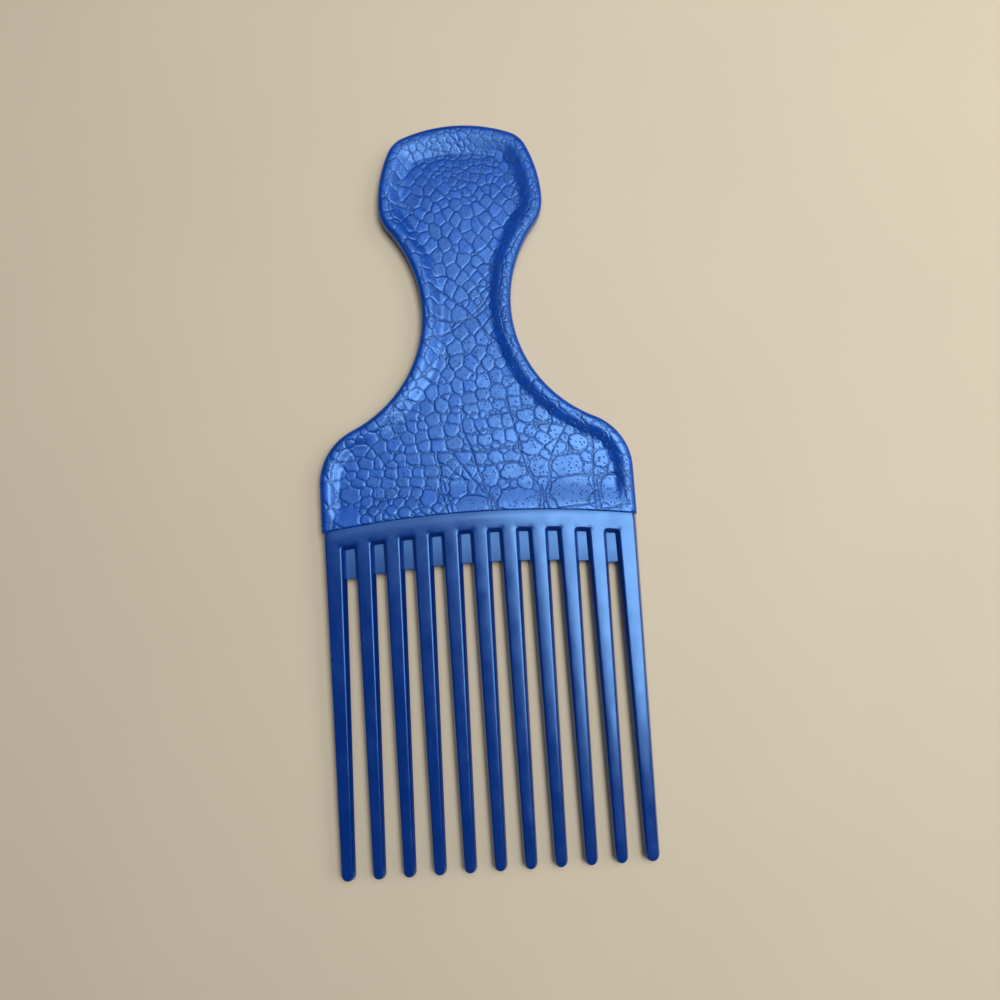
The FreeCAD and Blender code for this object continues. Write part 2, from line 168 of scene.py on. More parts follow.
class PickColours(bpy.types.PropertyGroup):
    """Colours and finish of the plastic"""

    grained_blue: colour("Grained blue", "Plastic of the handle", (0.0018, 0.047, 0.33))
    # Painted shade: groove blue is the colour that grooves, cracks and pores are darkened towards, standing
    # in for the shade in these hollows.
    groove_shade_blue: colour("Groove blue", "Plastic at the bottom of the grooves", (0.0006, 0.01, 0.075))
    # Painted shade: the comb's blue is a darker copy of the handle's blue, though the pick is one plastic.
    comb_shaded_blue: colour("Smooth blue", "Plastic of the comb", (0.0005, 0.0225, 0.18))
    # Painted light: the webs' blue is a lighter, greyer copy of the comb's blue of the same plastic.
    web_lit_blue: colour("Web blue", "Thin plastic of the webs", (0.02, 0.065, 0.25))
    grained_roughness: share("Grained roughness", "Roughness of the handle", 0.25)
    smooth_roughness: share("Smooth roughness", "Roughness of the comb", 0.2)
    web_roughness: share("Web roughness", "Roughness of the webs", 0.32)


class PickStage(bpy.types.PropertyGroup):
    """Floor, light and camera"""

    floor_colour: colour("Floor colour", "Plain pale floor", (0.56, 0.49, 0.37))
    softbox_height: length("Softbox height", "Height of the softboxes above the floor", 600.0)
    softbox_brightness: share("Softbox brightness", "Brightness of the softboxes, white being one", 1.0, 9.0)
    sky_strength: share("Sky strength", "Strength of the even light all round", 0.06, 5.0)
    lens: bpy.props.FloatProperty(name="Lens", description="Focal length in millimetres", default=27.0)


# Plane geometry shared by the handle and the comb.

FAR_AWAY = 1000.0
ANGLE_SLACK = 1e-9
FEWEST_STEPS = 4


def arch(radius, seam_radius, across):
    """Return the height of an arc about the seam's centre, at places across the pick."""
    return np.sqrt(radius**2 - np.square(across)) - seam_radius


def ease(value):
    """Return the smooth step from zero to one."""
    held = np.clip(value, 0.0, 1.0)
    return held * held * (3.0 - 2.0 * held)


def straight_fall(value, soft):
    """Return a straight rise from zero to one whose two ends are rounded over a share of it."""
    held = np.clip(value, 0.0, 1.0)
    straight = (held - soft / 2) / (1 - soft)
    foot = np.square(held) / (2 * soft * (1 - soft))
    head = 1.0 - np.square(1 - held) / (2 * soft * (1 - soft))
    return np.where(held < soft, foot, np.where(held > 1 - soft, head, straight))


def seam_line(seam_radius, across, above):
    """Return places on the arc that lies a distance above the seam."""
    return np.stack([across, arch(seam_radius + above, seam_radius, across)], 1)


def bearing(start, end):
    """Return the direction from one place to another."""
    return math.atan2(end[1] - start[1], end[0] - start[0])


def circle_crossing(first, first_radius, second, second_radius):
    """Return the crossing of two circles that lies further right."""
    first, second = np.array(first), np.array(second)
    apart = np.linalg.norm(second - first)
    along = (apart**2 + first_radius**2 - second_radius**2) / (2 * apart)
    unit = (second - first) / apart
    middle = first + along * unit
    sideways = math.sqrt(first_radius**2 - along**2) * np.array((-unit[1], unit[0]))
    return max(middle + sideways, middle - sideways, key=lambda place: place[0])


def ring_faces(ring_count, station_count):
    """Return the four sided faces between rings of stations, each ring inside the one before."""
    faces = []
    for ring in range(ring_count - 1):
        outer = ring * station_count
        inner = outer + station_count
        for station in range(station_count - 1):
            faces.append((outer + station, outer + station + 1, inner + station + 1, inner + station))
    return faces


class HandleOutline:
    """The right half of the handle's outline: a straight side and seven tangent arcs"""

    def __init__(self, sizes):
        self.half = sizes.half_width / MM
        self.seam_radius = sizes.seam_radius / MM
        neck, head = sizes.neck_width / MM / 2, sizes.head_width / MM / 2
        neck_y = sizes.neck_height / MM
        shoulder, flare = sizes.shoulder_radius / MM, sizes.flare_radius / MM
        throat, jaw = sizes.throat_radius / MM, sizes.jaw_radius / MM
        side, corner = sizes.head_side_radius / MM, sizes.head_corner_radius / MM
        crown = sizes.crown_radius / MM
        flare_centre = np.array((neck + flare, neck_y))
        throat_centre = np.array((neck + throat, neck_y))
        shoulder_x = self.half - shoulder
        shoulder_rise = math.sqrt((shoulder + flare) ** 2 - (flare_centre[0] - shoulder_x) ** 2)
        shoulder_centre = np.array((shoulder_x, neck_y - shoulder_rise))
        jaw_x = head - jaw
        jaw_rise = math.sqrt((throat + jaw) ** 2 - (throat_centre[0] - jaw_x) ** 2)
        jaw_centre = np.array((jaw_x, neck_y + jaw_rise))
        side_centre = np.array((head - side, jaw_centre[1]))
        crown_centre = np.array((0.0, HANDLE_LENGTH - crown))
        corner_centre = circle_crossing(side_centre, side - corner, crown_centre, crown - corner)
        self.side_top = shoulder_centre[1]
        shoulder_turn = bearing(shoulder_centre, flare_centre)
        jaw_turn = bearing(jaw_centre, throat_centre)
        side_turn = bearing(side_centre, corner_centre)
        corner_turn = bearing(crown_centre, corner_centre)
        # Each arc: centre, radius, first and last bearing, and whether it bulges outwards.
        self.arcs = (
            (shoulder_centre, shoulder, 0.0, shoulder_turn, True),
            (flare_centre, flare, shoulder_turn + math.pi, math.pi, False),
            (throat_centre, throat, math.pi, jaw_turn + math.pi, False),
            (jaw_centre, jaw, jaw_turn, 0.0, True),
            (side_centre, side, 0.0, side_turn, True),
            (corner_centre, corner, side_turn, corner_turn, True),
            (crown_centre, crown, corner_turn, math.pi / 2, True),
        )

    def points(self, inset, spacing):
        """Return stations along the outline set in by a distance, from the right end of the seam
        over the crown to the left end. Every inset has the same number of stations."""
        across = self.half - inset
        start = float(arch(self.seam_radius, self.seam_radius, across))
        rise = np.linspace(start, self.side_top, int(self.side_top / spacing) + 1)[:-1]
        half = [np.stack([np.full_like(rise, across), rise], 1)]
        for centre, radius, first, last, outwards in self.arcs:
            count = max(FEWEST_STEPS, int(abs(last - first) * radius / spacing))
            turn = np.linspace(first, last, count + 1)[:-1]
            reach = radius - inset if outwards else radius + inset
            half.append(centre + reach * np.stack([np.cos(turn), np.sin(turn)], 1))
        right = np.concatenate(half)
        top = np.array([[0.0, HANDLE_LENGTH - inset]])
        return np.concatenate([right, top, right[::-1] * (-1.0, 1.0)])

    def distance(self, across, along):
        """Return how far places inside the outline are from it, the seam left out."""
        across = np.abs(across)
        nearest = np.where(along <= self.side_top, self.half - across, FAR_AWAY)
        for centre, radius, first, last, outwards in self.arcs:
            aside, rise = across - centre[0], along - centre[1]
            turn = np.mod(np.arctan2(rise, aside) - min(first, last) + ANGLE_SLACK, 2 * math.pi)
            reach = np.hypot(aside, rise)
            away = radius - reach if outwards else reach - radius
            facing = turn <= abs(last - first) + 2 * ANGLE_SLACK
            nearest = np.where(facing, np.minimum(nearest, away), nearest)
        return nearest

    def seam_distance(self, across, along):
        """Return how far places are above the seam."""
        return np.hypot(across, along + self.seam_radius) - self.seam_radius


# The reptile grain, drawn on a fine raster over the face of the handle.

RASTER_STEP = 0.08
RASTER_LEFT, RASTER_RIGHT = -38.0, 38.0
RASTER_LOW, RASTER_HIGH = -4.0, 97.5

# How the grain changes over the handle. Each patch: place across and along, size of its scales
# in millimetres, how round they are, how many pores they have and how crinkled they are.
GRAIN_PATCHES = {
    "crown": (0.0, 91.0, 2.1, 0.2, 0.0, 0.5),
    "upper_dish": (1.0, 84.0, 2.3, 0.3, 0.0, 0.3),
    "head_left": (-15.0, 80.0, 3.0, 0.4, 0.1, 0.3),
    "head_middle": (-1.0, 72.0, 3.5, 0.25, 0.1, 0.2),
    "head_right": (9.0, 74.0, 3.1, 0.3, 0.1, 0.2),
    "head_right_rim": (17.0, 76.0, 2.0, 0.2, 0.0, 0.9),
    "throat": (-1.0, 62.0, 3.6, 0.2, 0.1, 0.2),
    "neck_left": (-6.0, 50.0, 3.6, 0.15, 0.1, 0.2),
    "neck_right": (8.5, 52.0, 1.7, 0.3, 0.0, 1.0),
    "neck_foot": (0.0, 40.0, 3.7, 0.5, 0.5, 0.2),
    "flare_left": (-12.0, 30.0, 3.1, 0.55, 0.1, 0.3),
    "flare_right": (12.0, 31.0, 3.4, 0.5, 0.7, 0.3),
    "middle": (0.0, 21.0, 3.2, 0.6, 0.3, 0.2),
    "left_field": (-18.0, 14.0, 2.9, 0.55, 0.1, 0.4),
    "left_shoulder": (-32.0, 11.0, 3.2, 0.4, 0.0, 0.1),
    "left_seam": (-19.0, 1.5, 2.5, 0.6, 0.0, 0.8),
    "right_field": (18.0, 18.0, 4.0, 0.55, 1.0, 0.3),
    "right_shoulder": (31.0, 14.0, 3.0, 0.5, 1.0, 0.6),
    "right_seam": (22.0, 2.0, 5.0, 0.3, 1.0, 0.3),
}

# Large tiles placed one by one: across, along, half width, half height, turn and squareness.
LARGE_TILES = (
    (-30.6, 0.7, 3.4, 3.1, 0.0, 2.6),
    (-29.8, 5.9, 2.7, 2.1, 0.1, 2.2),
    (-34.9, 6.5, 1.6, 3.0, 0.0, 2.2),
    (-4.6, 5.7, 2.4, 2.4, 0.0, 2.1),
    (-1.3, 1.4, 4.0, 2.9, 0.0, 2.2),
    (9.2, 2.3, 4.9, 3.3, 0.05, 2.7),
    (21.8, 3.4, 5.3, 3.7, 0.08, 3.4),
    (31.6, 3.2, 2.6, 3.7, 0.0, 3.0),
    (21.8, 9.8, 4.1, 2.6, 0.15, 2.5),
    (15.0, 9.6, 2.3, 2.7, 0.0, 2.3),
    (8.6, 9.2, 3.3, 2.1, 0.05, 3.2),
    (3.2, 8.4, 2.0, 2.7, 0.1, 2.5),
    (19.0, 14.3, 2.6, 1.9, 0.2, 2.2),
    (24.4, 15.2, 2.3, 2.1, 0.0, 2.0),
    (29.6, 10.8, 1.9, 2.4, 0.0, 2.3),
    (-11.6, 4.0, 2.1, 2.3, 0.1, 2.2),
    (-14.6, 74.4, 2.3, 1.9, -0.7, 2.7),
    (-11.2, 77.6, 2.3, 1.9, -0.6, 2.7),
    (-12.2, 71.8, 1.9, 2.4, 0.3, 2.4),
)

# Rows of scales across the lower half: left end, right end, how many, and their height.
SCALE_ROWS = (
    ((-13.0, 28.9), (-3.2, 30.4), 4, 3.2),
    ((-1.0, 30.6), (9.6, 33.6), 4, 3.4),
    ((-11.0, 25.6), (9.8, 28.9), 7, 3.5),
    ((-18.0, 23.4), (13.2, 26.1), 10, 3.2),
    ((-15.8, 18.4), (15.9, 22.8), 10, 3.2),
    ((-19.0, 17.0), (-12.0, 16.6), 3, 2.6),
    ((-12.2, 15.9), (13.0, 18.4), 8, 3.0),
    ((-27.0, 16.4), (-18.6, 17.2), 3, 2.8),
    ((-21.0, 14.4), (-14.6, 13.6), 3, 2.4),
    ((-11.6, 13.2), (8.6, 12.8), 6, 2.8),
    ((-29.6, 12.6), (-22.0, 13.6), 3, 2.7),
    ((-26.6, 10.6), (-7.4, 10.2), 7, 2.8),
    ((-31.4, 8.6), (-10.4, 7.6), 7, 2.7),
    ((-26.4, 6.6), (-14.2, 5.2), 5, 2.6),
)

# Long creases, each a smooth line through a few places.
CREASES = (
    ((-7.1, -0.4), (-7.8, 2.7), (-8.8, 6.7), (-8.4, 10.6), (-9.0, 13.1), (-8.9, 14.8)),
    ((-6.0, -0.4), (-7.0, 4.0), (-8.1, 7.6)),
    ((3.2, -0.4), (2.6, 3.2), (0.6, 6.0), (-2.1, 9.4), (-4.1, 12.3), (-5.9, 14.6)),
    (
        (4.3, -0.4), (3.7, 1.9), (1.6, 5.7), (0.6, 9.0),
        (-0.2, 12.0), (-1.2, 16.0), (-2.6, 19.6), (-3.0, 23.4),
    ),
    (
        (14.1, -0.9), (14.5, 5.1), (12.7, 7.5), (11.8, 10.7),
        (10.4, 14.3), (9.9, 18.8), (8.8, 23.4), (7.9, 28.0),
    ),
    ((16.3, -1.0), (15.8, 3.6), (17.2, 7.4), (17.4, 11.4), (20.6, 17.4), (21.9, 20.5)),
    ((15.2, -1.0), (15.2, 3.0), (14.8, 5.6)),
    ((27.4, -1.5), (27.3, 2.4), (27.4, 7.3), (27.7, 12.2), (27.3, 17.2), (24.0, 22.4)),
    ((28.6, -1.6), (28.4, 2.3), (28.3, 7.2)),
    ((-4.2, 11.5), (2.6, 10.9), (7.0, 11.6), (11.7, 10.9)),
    ((-8.9, 14.6), (-4.5, 14.8), (-0.3, 14.4), (3.9, 14.8), (10.2, 15.3)),
    ((17.3, 6.9), (21.9, 7.3), (27.2, 7.6)),
    ((18.0, -0.6), (22.9, 0.1), (27.1, 0.5)),
    ((14.0, 19.5), (17.0, 20.1), (19.7, 20.2)),
    ((3.4, 23.0), (7.8, 23.2), (12.3, 23.9), (17.3, 24.8)),
    ((28.8, 7.0), (33.1, 7.2), (36.6, 7.7)),
    ((28.8, -1.2), (33.0, -0.6), (36.2, -0.2)),
    ((-9.6, 49.0), (-4.0, 46.4), (2.0, 47.2), (6.4, 51.0)),
    ((-9.4, 42.6), (-3.6, 44.2), (3.4, 49.6), (7.0, 54.6)),
    ((-8.8, 56.6), (-3.0, 51.6), (2.4, 46.2), (5.0, 41.4)),
    ((10.6, 39.0), (8.4, 45.0), (8.0, 52.0), (9.4, 60.0)),
)

# Columns of the patch values, and how softly one patch blends into the next.
PATCH_SIZE, PATCH_ROUND, PATCH_PORES, PATCH_CRINKLE = 2, 3, 4, 5
PATCH_BLEND = 4.0

# Room that the random waves and the small cells cover, across and along, a little over the raster's.
WAVE_ROOM, WAVE_MARGIN = (78, 104), 4
CELL_ROOM, CELL_MARGIN = (80, 106), 1
LAST_CELL = 1.001
NO_NEIGHBOUR = 9.0

# Room that scales keep from creases and from each other, and how far scales and creases are drawn.
CREASE_ROOM, SCALE_ROOM = 0.9, 0.8
SCALE_REACH, SCALE_SPARE = 2.6, 0.6
CREASE_REACH = 1.6

# Squareness of the scales: two is an ellipse and one a diamond.
ROUND_SCALE, DIAMOND_SCALE = 2.0, 1.7

# Scales in rows: random shift, share of their room that they fill, room kept and random turn.
ROW_SHIFT, ROW_FILL, ROW_ROOM, ROW_TURN = 0.22, (0.44, 0.54), 0.7, 0.2

# Diamond scales on the neck and the head.
DIAMOND_ROWS, DIAMOND_COLUMNS = 29, range(-7, 8)
DIAMOND_START, DIAMOND_STEP = 36.0, 2.12
HEAD_START = 66
NECK_DIAMOND_WIDTH, HEAD_DIAMOND_WIDTH = 3.9, 3.6
DIAMOND_LEAN, DIAMOND_SHIFT, DIAMOND_TURN = 0.12, 0.6, 0.25
DIAMOND_EDGE, DIAMOND_SMALLEST, DIAMOND_ROOM = 1.0, 1.2, 0.75
DIAMOND_WIDE, DIAMOND_TALL = 0.92, 1.12

# Scales that fill the rest, tried at random places, larger ones first.
FILL_SHRINKS, FILL_TRIES = (1.0, 0.78, 0.6), 6000
FILL_ACROSS, FILL_ALONG = (-38, 38), (-4, 97)
FILL_EDGE, FILL_CHANGE = -1.0, (0.85, 1.1)
FILL_STRETCH, FILL_TURN = (0.86, 1.16), 1.5

# Waves that bend the grooves and waves of the skin: size, and reach or rise.
WANDER = ((2.3, 0.2), (0.7, 0.06))
SKIN_WAVES = ((0.34, 0.009), (0.8, 0.012))

# Edges of tiles and of round scales, and the small cells between them.
TILE_LIMIT, ROUND_LIMIT, ROUND_PULL = 1.0, 1.5, 0.58
SMALL_CELL, FILLER_FADE, FILLER_DROP = 1.15, 0.12, 0.02

# Strength of the grooves, form of the domes and random tilt of the scales.
GROOVE_MEAN, GROOVE_CHANGE, GROOVE_WAVE = 0.82, 0.18, 3.0
CREASE_WIDTH = 1.2
DOME_REACH, DOME_START = 0.28, 0.05
SCALE_LEAN, SCALE_LIFT = 0.022, 0.02
GRAIN_TOP = 0.03

# The striped belly tile, the crinkles, the pores and the tone of plain plastic.
BELLY_LEFT, BELLY_RIGHT, BELLY_TOP, BELLY_FADE = 3, 15, 7, 2
STRIPE_SIZE, STRIPE_HEIGHT = (0.28, 2.4), 0.012
CRINKLE_WAVE = 5.0
PORE_LIMIT, PORE_FADE = 0.92, 0.15
PLAIN_TONE = 0.5

# Where the mesh is fine, and how its points settle on the grooves.
DETAIL_REACH = 0.25
SETTLE_STEPS, LEAST_SLOPE = 2, 0.3


class GrainRaster:
    """Height, grooves, tone, crinkles and pores of the grain at every place of the raster"""

    def __init__(self, settings):
        self.random = np.random.default_rng(settings.seed)
        self.columns = np.arange(RASTER_LEFT, RASTER_RIGHT, RASTER_STEP)
        self.rows = np.arange(RASTER_LOW, RASTER_HIGH, RASTER_STEP)
        self.across, self.along = np.meshgrid(self.columns, self.rows)
        self.settings = settings

    def noise(self, wide, tall):
        """Return smooth random waves of the given width and height, between minus one and one."""
        counts = (int(WAVE_ROOM[1] / tall) + WAVE_MARGIN, int(WAVE_ROOM[0] / wide) + WAVE_MARGIN)
        table = self.random.uniform(-1.0, 1.0, counts)
        place_x = (self.columns - RASTER_LEFT) / wide
        place_y = (self.rows - RASTER_LOW) / tall
        left, low = place_x.astype(int), place_y.astype(int)
        part_x, part_y = ease(place_x - left)[None, :], ease(place_y - low)[:, None]
        lower = table[low][:, left] * (1 - part_x) + table[low][:, left + 1] * part_x
        upper = table[low + 1][:, left] * (1 - part_x) + table[low + 1][:, left + 1] * part_x
        return lower * (1 - part_y) + upper * part_y

    def window(self, across, along, reach):
        """Return the part of the raster within reach of a place."""
        left = max(0, int((across - reach - RASTER_LEFT) / RASTER_STEP))
        right = max(0, int((across + reach - RASTER_LEFT) / RASTER_STEP) + 1)
        low = max(0, int((along - reach - RASTER_LOW) / RASTER_STEP))
        high = max(0, int((along + reach - RASTER_LOW) / RASTER_STEP) + 1)
        return slice(low, high), slice(left, right)

    def sample(self, field, across, along):
        """Return a field's value at places between the raster's points."""
        place_x = np.clip((across - RASTER_LEFT) / RASTER_STEP, 0, len(self.columns) - LAST_CELL)
        place_y = np.clip((along - RASTER_LOW) / RASTER_STEP, 0, len(self.rows) - LAST_CELL)
        left, low = place_x.astype(int), place_y.astype(int)
        part_x, part_y = place_x - left, place_y - low
        lower = field[low, left] * (1 - part_x) + field[low, left + 1] * part_x
        upper = field[low + 1, left] * (1 - part_x) + field[low + 1, left + 1] * part_x
        return lower * (1 - part_y) + upper * part_y


def patch_value(column, across, along):
    """Return one of the patch values, blended between the patches by nearness."""
    total = np.zeros(np.shape(across))
    weight = np.zeros(np.shape(across))
    for patch in GRAIN_PATCHES.values():
        nearness = 1.0 / (np.square(across - patch[0]) + np.square(along - patch[1]) + PATCH_BLEND) ** 2
        total = total + nearness * patch[column]
        weight = weight + nearness
    return total / weight


def crease_path(places, steps=8):
    """Return points on a smooth line through the places."""
    places = np.array(places)
    before = np.concatenate([[2 * places[0] - places[1]], places[:-1]])
    after = np.concatenate([places[1:], [2 * places[-1] - places[-2]]])
    slopes = (after - before) / 2
    part = np.linspace(0.0, 1.0, steps, endpoint=False)[:, None]
    hold_start = 2 * part**3 - 3 * part**2 + 1
    leave = part**3 - 2 * part**2 + part
    arrive = part**3 - part**2
    path = []
    for index in range(len(places) - 1):
        path.append(
            hold_start * places[index]
            + leave * slopes[index]
            + (1 - hold_start) * places[index + 1]
            + arrive * slopes[index + 1]
        )
    return np.concatenate(path + [places[-1:]])


def diamond_sites(random):
    """Return the places of diamond scales on the neck and the head, in rows that lean a little."""
    sites = []
    for row in range(DIAMOND_ROWS):
        along = DIAMOND_START + row * DIAMOND_STEP
        wide = NECK_DIAMOND_WIDTH if along < HEAD_START else HEAD_DIAMOND_WIDTH
        for column in DIAMOND_COLUMNS:
            across = (column + 0.5 * (row % 2)) * wide + DIAMOND_LEAN * (along - HEAD_START)
            shift = random.uniform(-DIAMOND_SHIFT, DIAMOND_SHIFT, 2)
            sites.append((across + shift[0], along + shift[1]))
    return sites


def scale_sites(grain, outline):
    """Return every scale: across, along, half width, half height, turn and squareness."""
    random, size = grain.random, grain.settings.scale_size
    sites = list(LARGE_TILES)
    creased = crease_distance(grain, grain.across, grain.along)
    rise_of, run_of = np.gradient(creased, RASTER_STEP)

    def beside(across, along, half):
        """Return a place moved off the creases, so that a scale there lies along them."""
        place = np.array(across), np.array(along)
        short = CREASE_ROOM * half - float(grain.sample(creased, *place))
        if short <= 0.0:
            return across, along
        return (
            across + short * float(grain.sample(run_of, *place)),
            along + short * float(grain.sample(rise_of, *place)),
        )

    def inside(across, along, edge):
        """Say whether a place lies within the outline by a distance."""
        return outline.distance(np.array(across), np.array(along)) > edge

    def room(across, along, half):
        """Say whether a scale at a place keeps clear of those already there."""
        for other in sites:
            aside = (across - other[0]) / (SCALE_ROOM * (other[2] + half))
            rise = (along - other[1]) / (SCALE_ROOM * (other[3] + half))
            if aside * aside + rise * rise < 1.0:
                return False
        return True

    for left, right, count, tall in SCALE_ROWS:
        step = (np.array(right) - np.array(left)) / (count - 1)
        wide = np.linalg.norm(step)
        for index in range(count):
            across, along = np.array(left) + index * step + random.uniform(-ROW_SHIFT, ROW_SHIFT, 2)
            half_width = wide * random.uniform(*ROW_FILL)
            half_height = tall * random.uniform(*ROW_FILL)
            smaller = min(half_width, half_height)
            across, along = beside(across, along, smaller)
            if room(across, along, ROW_ROOM * smaller):
                turn = random.uniform(-ROW_TURN, ROW_TURN)
                sites.append((across, along, half_width, half_height, turn, ROUND_SCALE))
    for across, along in diamond_sites(random):
        half = 0.5 * size * float(patch_value(PATCH_SIZE, across, along))
        across, along = beside(across, along, half)
        large = half > DIAMOND_SMALLEST
        if inside(across, along, DIAMOND_EDGE) and large and room(across, along, DIAMOND_ROOM * half):
            half_width, half_height = DIAMOND_WIDE * half, DIAMOND_TALL * half
            turn = random.uniform(-DIAMOND_TURN, DIAMOND_TURN)
            sites.append((across, along, half_width, half_height, turn, DIAMOND_SCALE))
    for shrink in FILL_SHRINKS:
        places = zip(random.uniform(*FILL_ACROSS, FILL_TRIES), random.uniform(*FILL_ALONG, FILL_TRIES))
        for across, along in places:
            change = random.uniform(*FILL_CHANGE)
            half = 0.5 * size * shrink * float(patch_value(PATCH_SIZE, across, along)) * change
            across, along = beside(across, along, half)
            if inside(across, along, FILL_EDGE) and room(across, along, half):
                stretch = random.uniform(*FILL_STRETCH)
                turn = random.uniform(-FILL_TURN, FILL_TURN)
                sites.append((across, along, half * stretch, half / stretch, turn, ROUND_SCALE))
    return np.array(sites)


def cell_fields(grain, sites, across, along):
    """Return how near each place is to its own scale and to the next one, and whose it is."""
    first = np.full(across.shape, NO_NEIGHBOUR)
    second = np.full(across.shape, NO_NEIGHBOUR)
    owner = np.zeros(across.shape, int)
    for index, (centre_x, centre_y, half_width, half_height, turn, squareness) in enumerate(sites):
        part = grain.window(centre_x, centre_y, SCALE_REACH * max(half_width, half_height) + SCALE_SPARE)
        aside, rise = across[part] - centre_x, along[part] - centre_y
        turned_x = np.abs(aside * math.cos(turn) + rise * math.sin(turn)) / half_width
        turned_y = np.abs(rise * math.cos(turn) - aside * math.sin(turn)) / half_height
        away = (turned_x**squareness + turned_y**squareness) ** (1.0 / squareness)
        near = away < first[part]
        second[part] = np.where(near, first[part], np.minimum(second[part], away))
        owner[part] = np.where(near, index, owner[part])
        first[part] = np.where(near, away, first[part])
    return first, second, owner


def crease_distance(grain, across, along):
    """Return how far each place is from the nearest long crease."""
    nearest = np.full(across.shape, NO_NEIGHBOUR)
    for crease in CREASES:
        path = crease_path(crease)
        for start, end in zip(path[:-1], path[1:]):
            part = grain.window(*(start + end) / 2, CREASE_REACH)
            step = end - start
            aside, rise = across[part] - start[0], along[part] - start[1]
            reach = np.clip((aside * step[0] + rise * step[1]) / (step @ step), 0.0, 1.0)
            away = np.hypot(aside - reach * step[0], rise - reach * step[1])
            nearest[part] = np.minimum(nearest[part], away)
    return nearest


def fine_cells(grain, size, across, along):
    """Return the distance to the cracks of a fine, even crackle."""
    wide, tall = int(CELL_ROOM[0] / size), int(CELL_ROOM[1] / size)
    shift_x, shift_y = grain.random.uniform(0, 1, (2, tall, wide))
    cell_x = np.floor((across - RASTER_LEFT + CELL_MARGIN) / size).astype(int)
    cell_y = np.floor((along - RASTER_LOW + CELL_MARGIN) / size).astype(int)
    first = np.full(across.shape, NO_NEIGHBOUR)
    second = np.full(across.shape, NO_NEIGHBOUR)
    for step_x, step_y in itertools.product((-1, 0, 1), repeat=2):
        near_x = np.clip(cell_x + step_x, 0, wide - 1)
        near_y = np.clip(cell_y + step_y, 0, tall - 1)
        centre_x = (near_x + shift_x[near_y, near_x]) * size + RASTER_LEFT - CELL_MARGIN
        centre_y = (near_y + shift_y[near_y, near_x]) * size + RASTER_LOW - CELL_MARGIN
        away = np.hypot(across - centre_x, along - centre_y)
        second = np.minimum(second, np.maximum(first, away))
        first = np.minimum(first, away)
    return (second - first) / 2


def wandered(grain, places):
    """Return places moved by random waves, so that the grooves don't run straight."""
    for size, reach in WANDER:
        places = places + reach * grain.noise(size, size)
    return places


def make_grain(settings, outline):
    """Draw the grain: scales, grooves, creases and filler cells, and where it is crinkled or pored."""
    grain = GrainRaster(settings)
    sites = scale_sites(grain, outline)
    across = wandered(grain, grain.across)
    along = wandered(grain, grain.along)
    first, second, owner = cell_fields(grain, sites, across, along)
    half = np.sqrt(sites[:, 2] * sites[:, 3])[owner]
    round_share = patch_value(PATCH_ROUND, grain.across, grain.along)
    crinkled = patch_value(PATCH_CRINKLE, grain.across, grain.along)
    # Between round scales the ground is filled with small cells, at the level of the grooves' edge.
    to_next = 0.5 * (second - first) * half
    limit = np.where(owner < len(LARGE_TILES), TILE_LIMIT, ROUND_LIMIT - ROUND_PULL * round_share)
    to_round = (limit - first) * half
    filler = ease(-to_round / FILLER_FADE)
    small = fine_cells(grain, SMALL_CELL, across, along)
    away = np.minimum(to_next, np.abs(to_round))
    away = np.where(to_round < 0, np.minimum(np.abs(to_round), small), away)
    creased = crease_distance(grain, across, along)
    away = np.minimum(away, creased)
    width, depth = settings.groove_width / MM, settings.groove_depth / MM
    strength = GROOVE_MEAN + GROOVE_CHANGE * grain.noise(GROOVE_WAVE, GROOVE_WAVE)
    groove = np.exp(-np.square(away / width)) * strength
    groove = np.maximum(groove, np.exp(-np.square(creased / (CREASE_WIDTH * width))))
    dome = 1.0 - np.exp(-np.square(away / DOME_REACH))
    lean = grain.random.uniform(-SCALE_LEAN, SCALE_LEAN, (len(sites), 2))[owner]
    lift = grain.random.uniform(-SCALE_LIFT, SCALE_LIFT, len(sites))[owner]
    tilt = lean[..., 0] * (across - sites[owner, 0]) + lean[..., 1] * (along - sites[owner, 1]) + lift
    belly = (
        ease((grain.across - BELLY_LEFT) / BELLY_FADE)
        * ease((BELLY_RIGHT - grain.across) / BELLY_FADE)
        * ease((BELLY_TOP - grain.along) / BELLY_FADE)
    )
    striped = grain.noise(*STRIPE_SIZE) * belly
    skin = sum(rise * grain.noise(size, size) for size, rise in SKIN_WAVES)
    height = (
        settings.dome_height / MM * (dome - 1.0)
        - depth * groove
        + np.where(dome > DOME_START, tilt * dome, 0.0)
        - FILLER_DROP * filler
        + STRIPE_HEIGHT * striped
        + skin
    )
    grain.height = np.minimum(height, GRAIN_TOP) - GRAIN_TOP
    grain.groove = groove
    grain.crinkle = crinkled * ease(0.5 + grain.noise(CRINKLE_WAVE, CRINKLE_WAVE))
    pores = patch_value(PATCH_PORES, grain.across, grain.along)
    grain.pored = pores * ease((PORE_LIMIT - first) / PORE_FADE)
    tones = grain.random.uniform(0.0, 1.0, len(sites))[owner]
    grain.tone = tones * dome + PLAIN_TONE * (1 - dome)
    grain.away = away
    grain.away_rise, grain.away_run = np.gradient(away, RASTER_STEP)
    grain.detail = away < DETAIL_REACH
    return grain


def settle_on_grooves(grain, across, along, reach):
    """Return points with those close to a groove moved onto the middle of it."""
    for _ in range(SETTLE_STEPS):
        away = grain.sample(grain.away, across, along)
        run = grain.sample(grain.away_run, across, along)
        rise = grain.sample(grain.away_rise, across, along)
        move = np.where(away < reach, away / np.maximum(run * run + rise * rise, LEAST_SLOPE), 0.0)
        across, along = across - move * run, along - move * rise
    return across, along


# Meshes. The triangulation joins points that are this close, and keeps what lies inside the loop.

SAME_PLACE = 1e-7
INSIDE_ONLY = 1


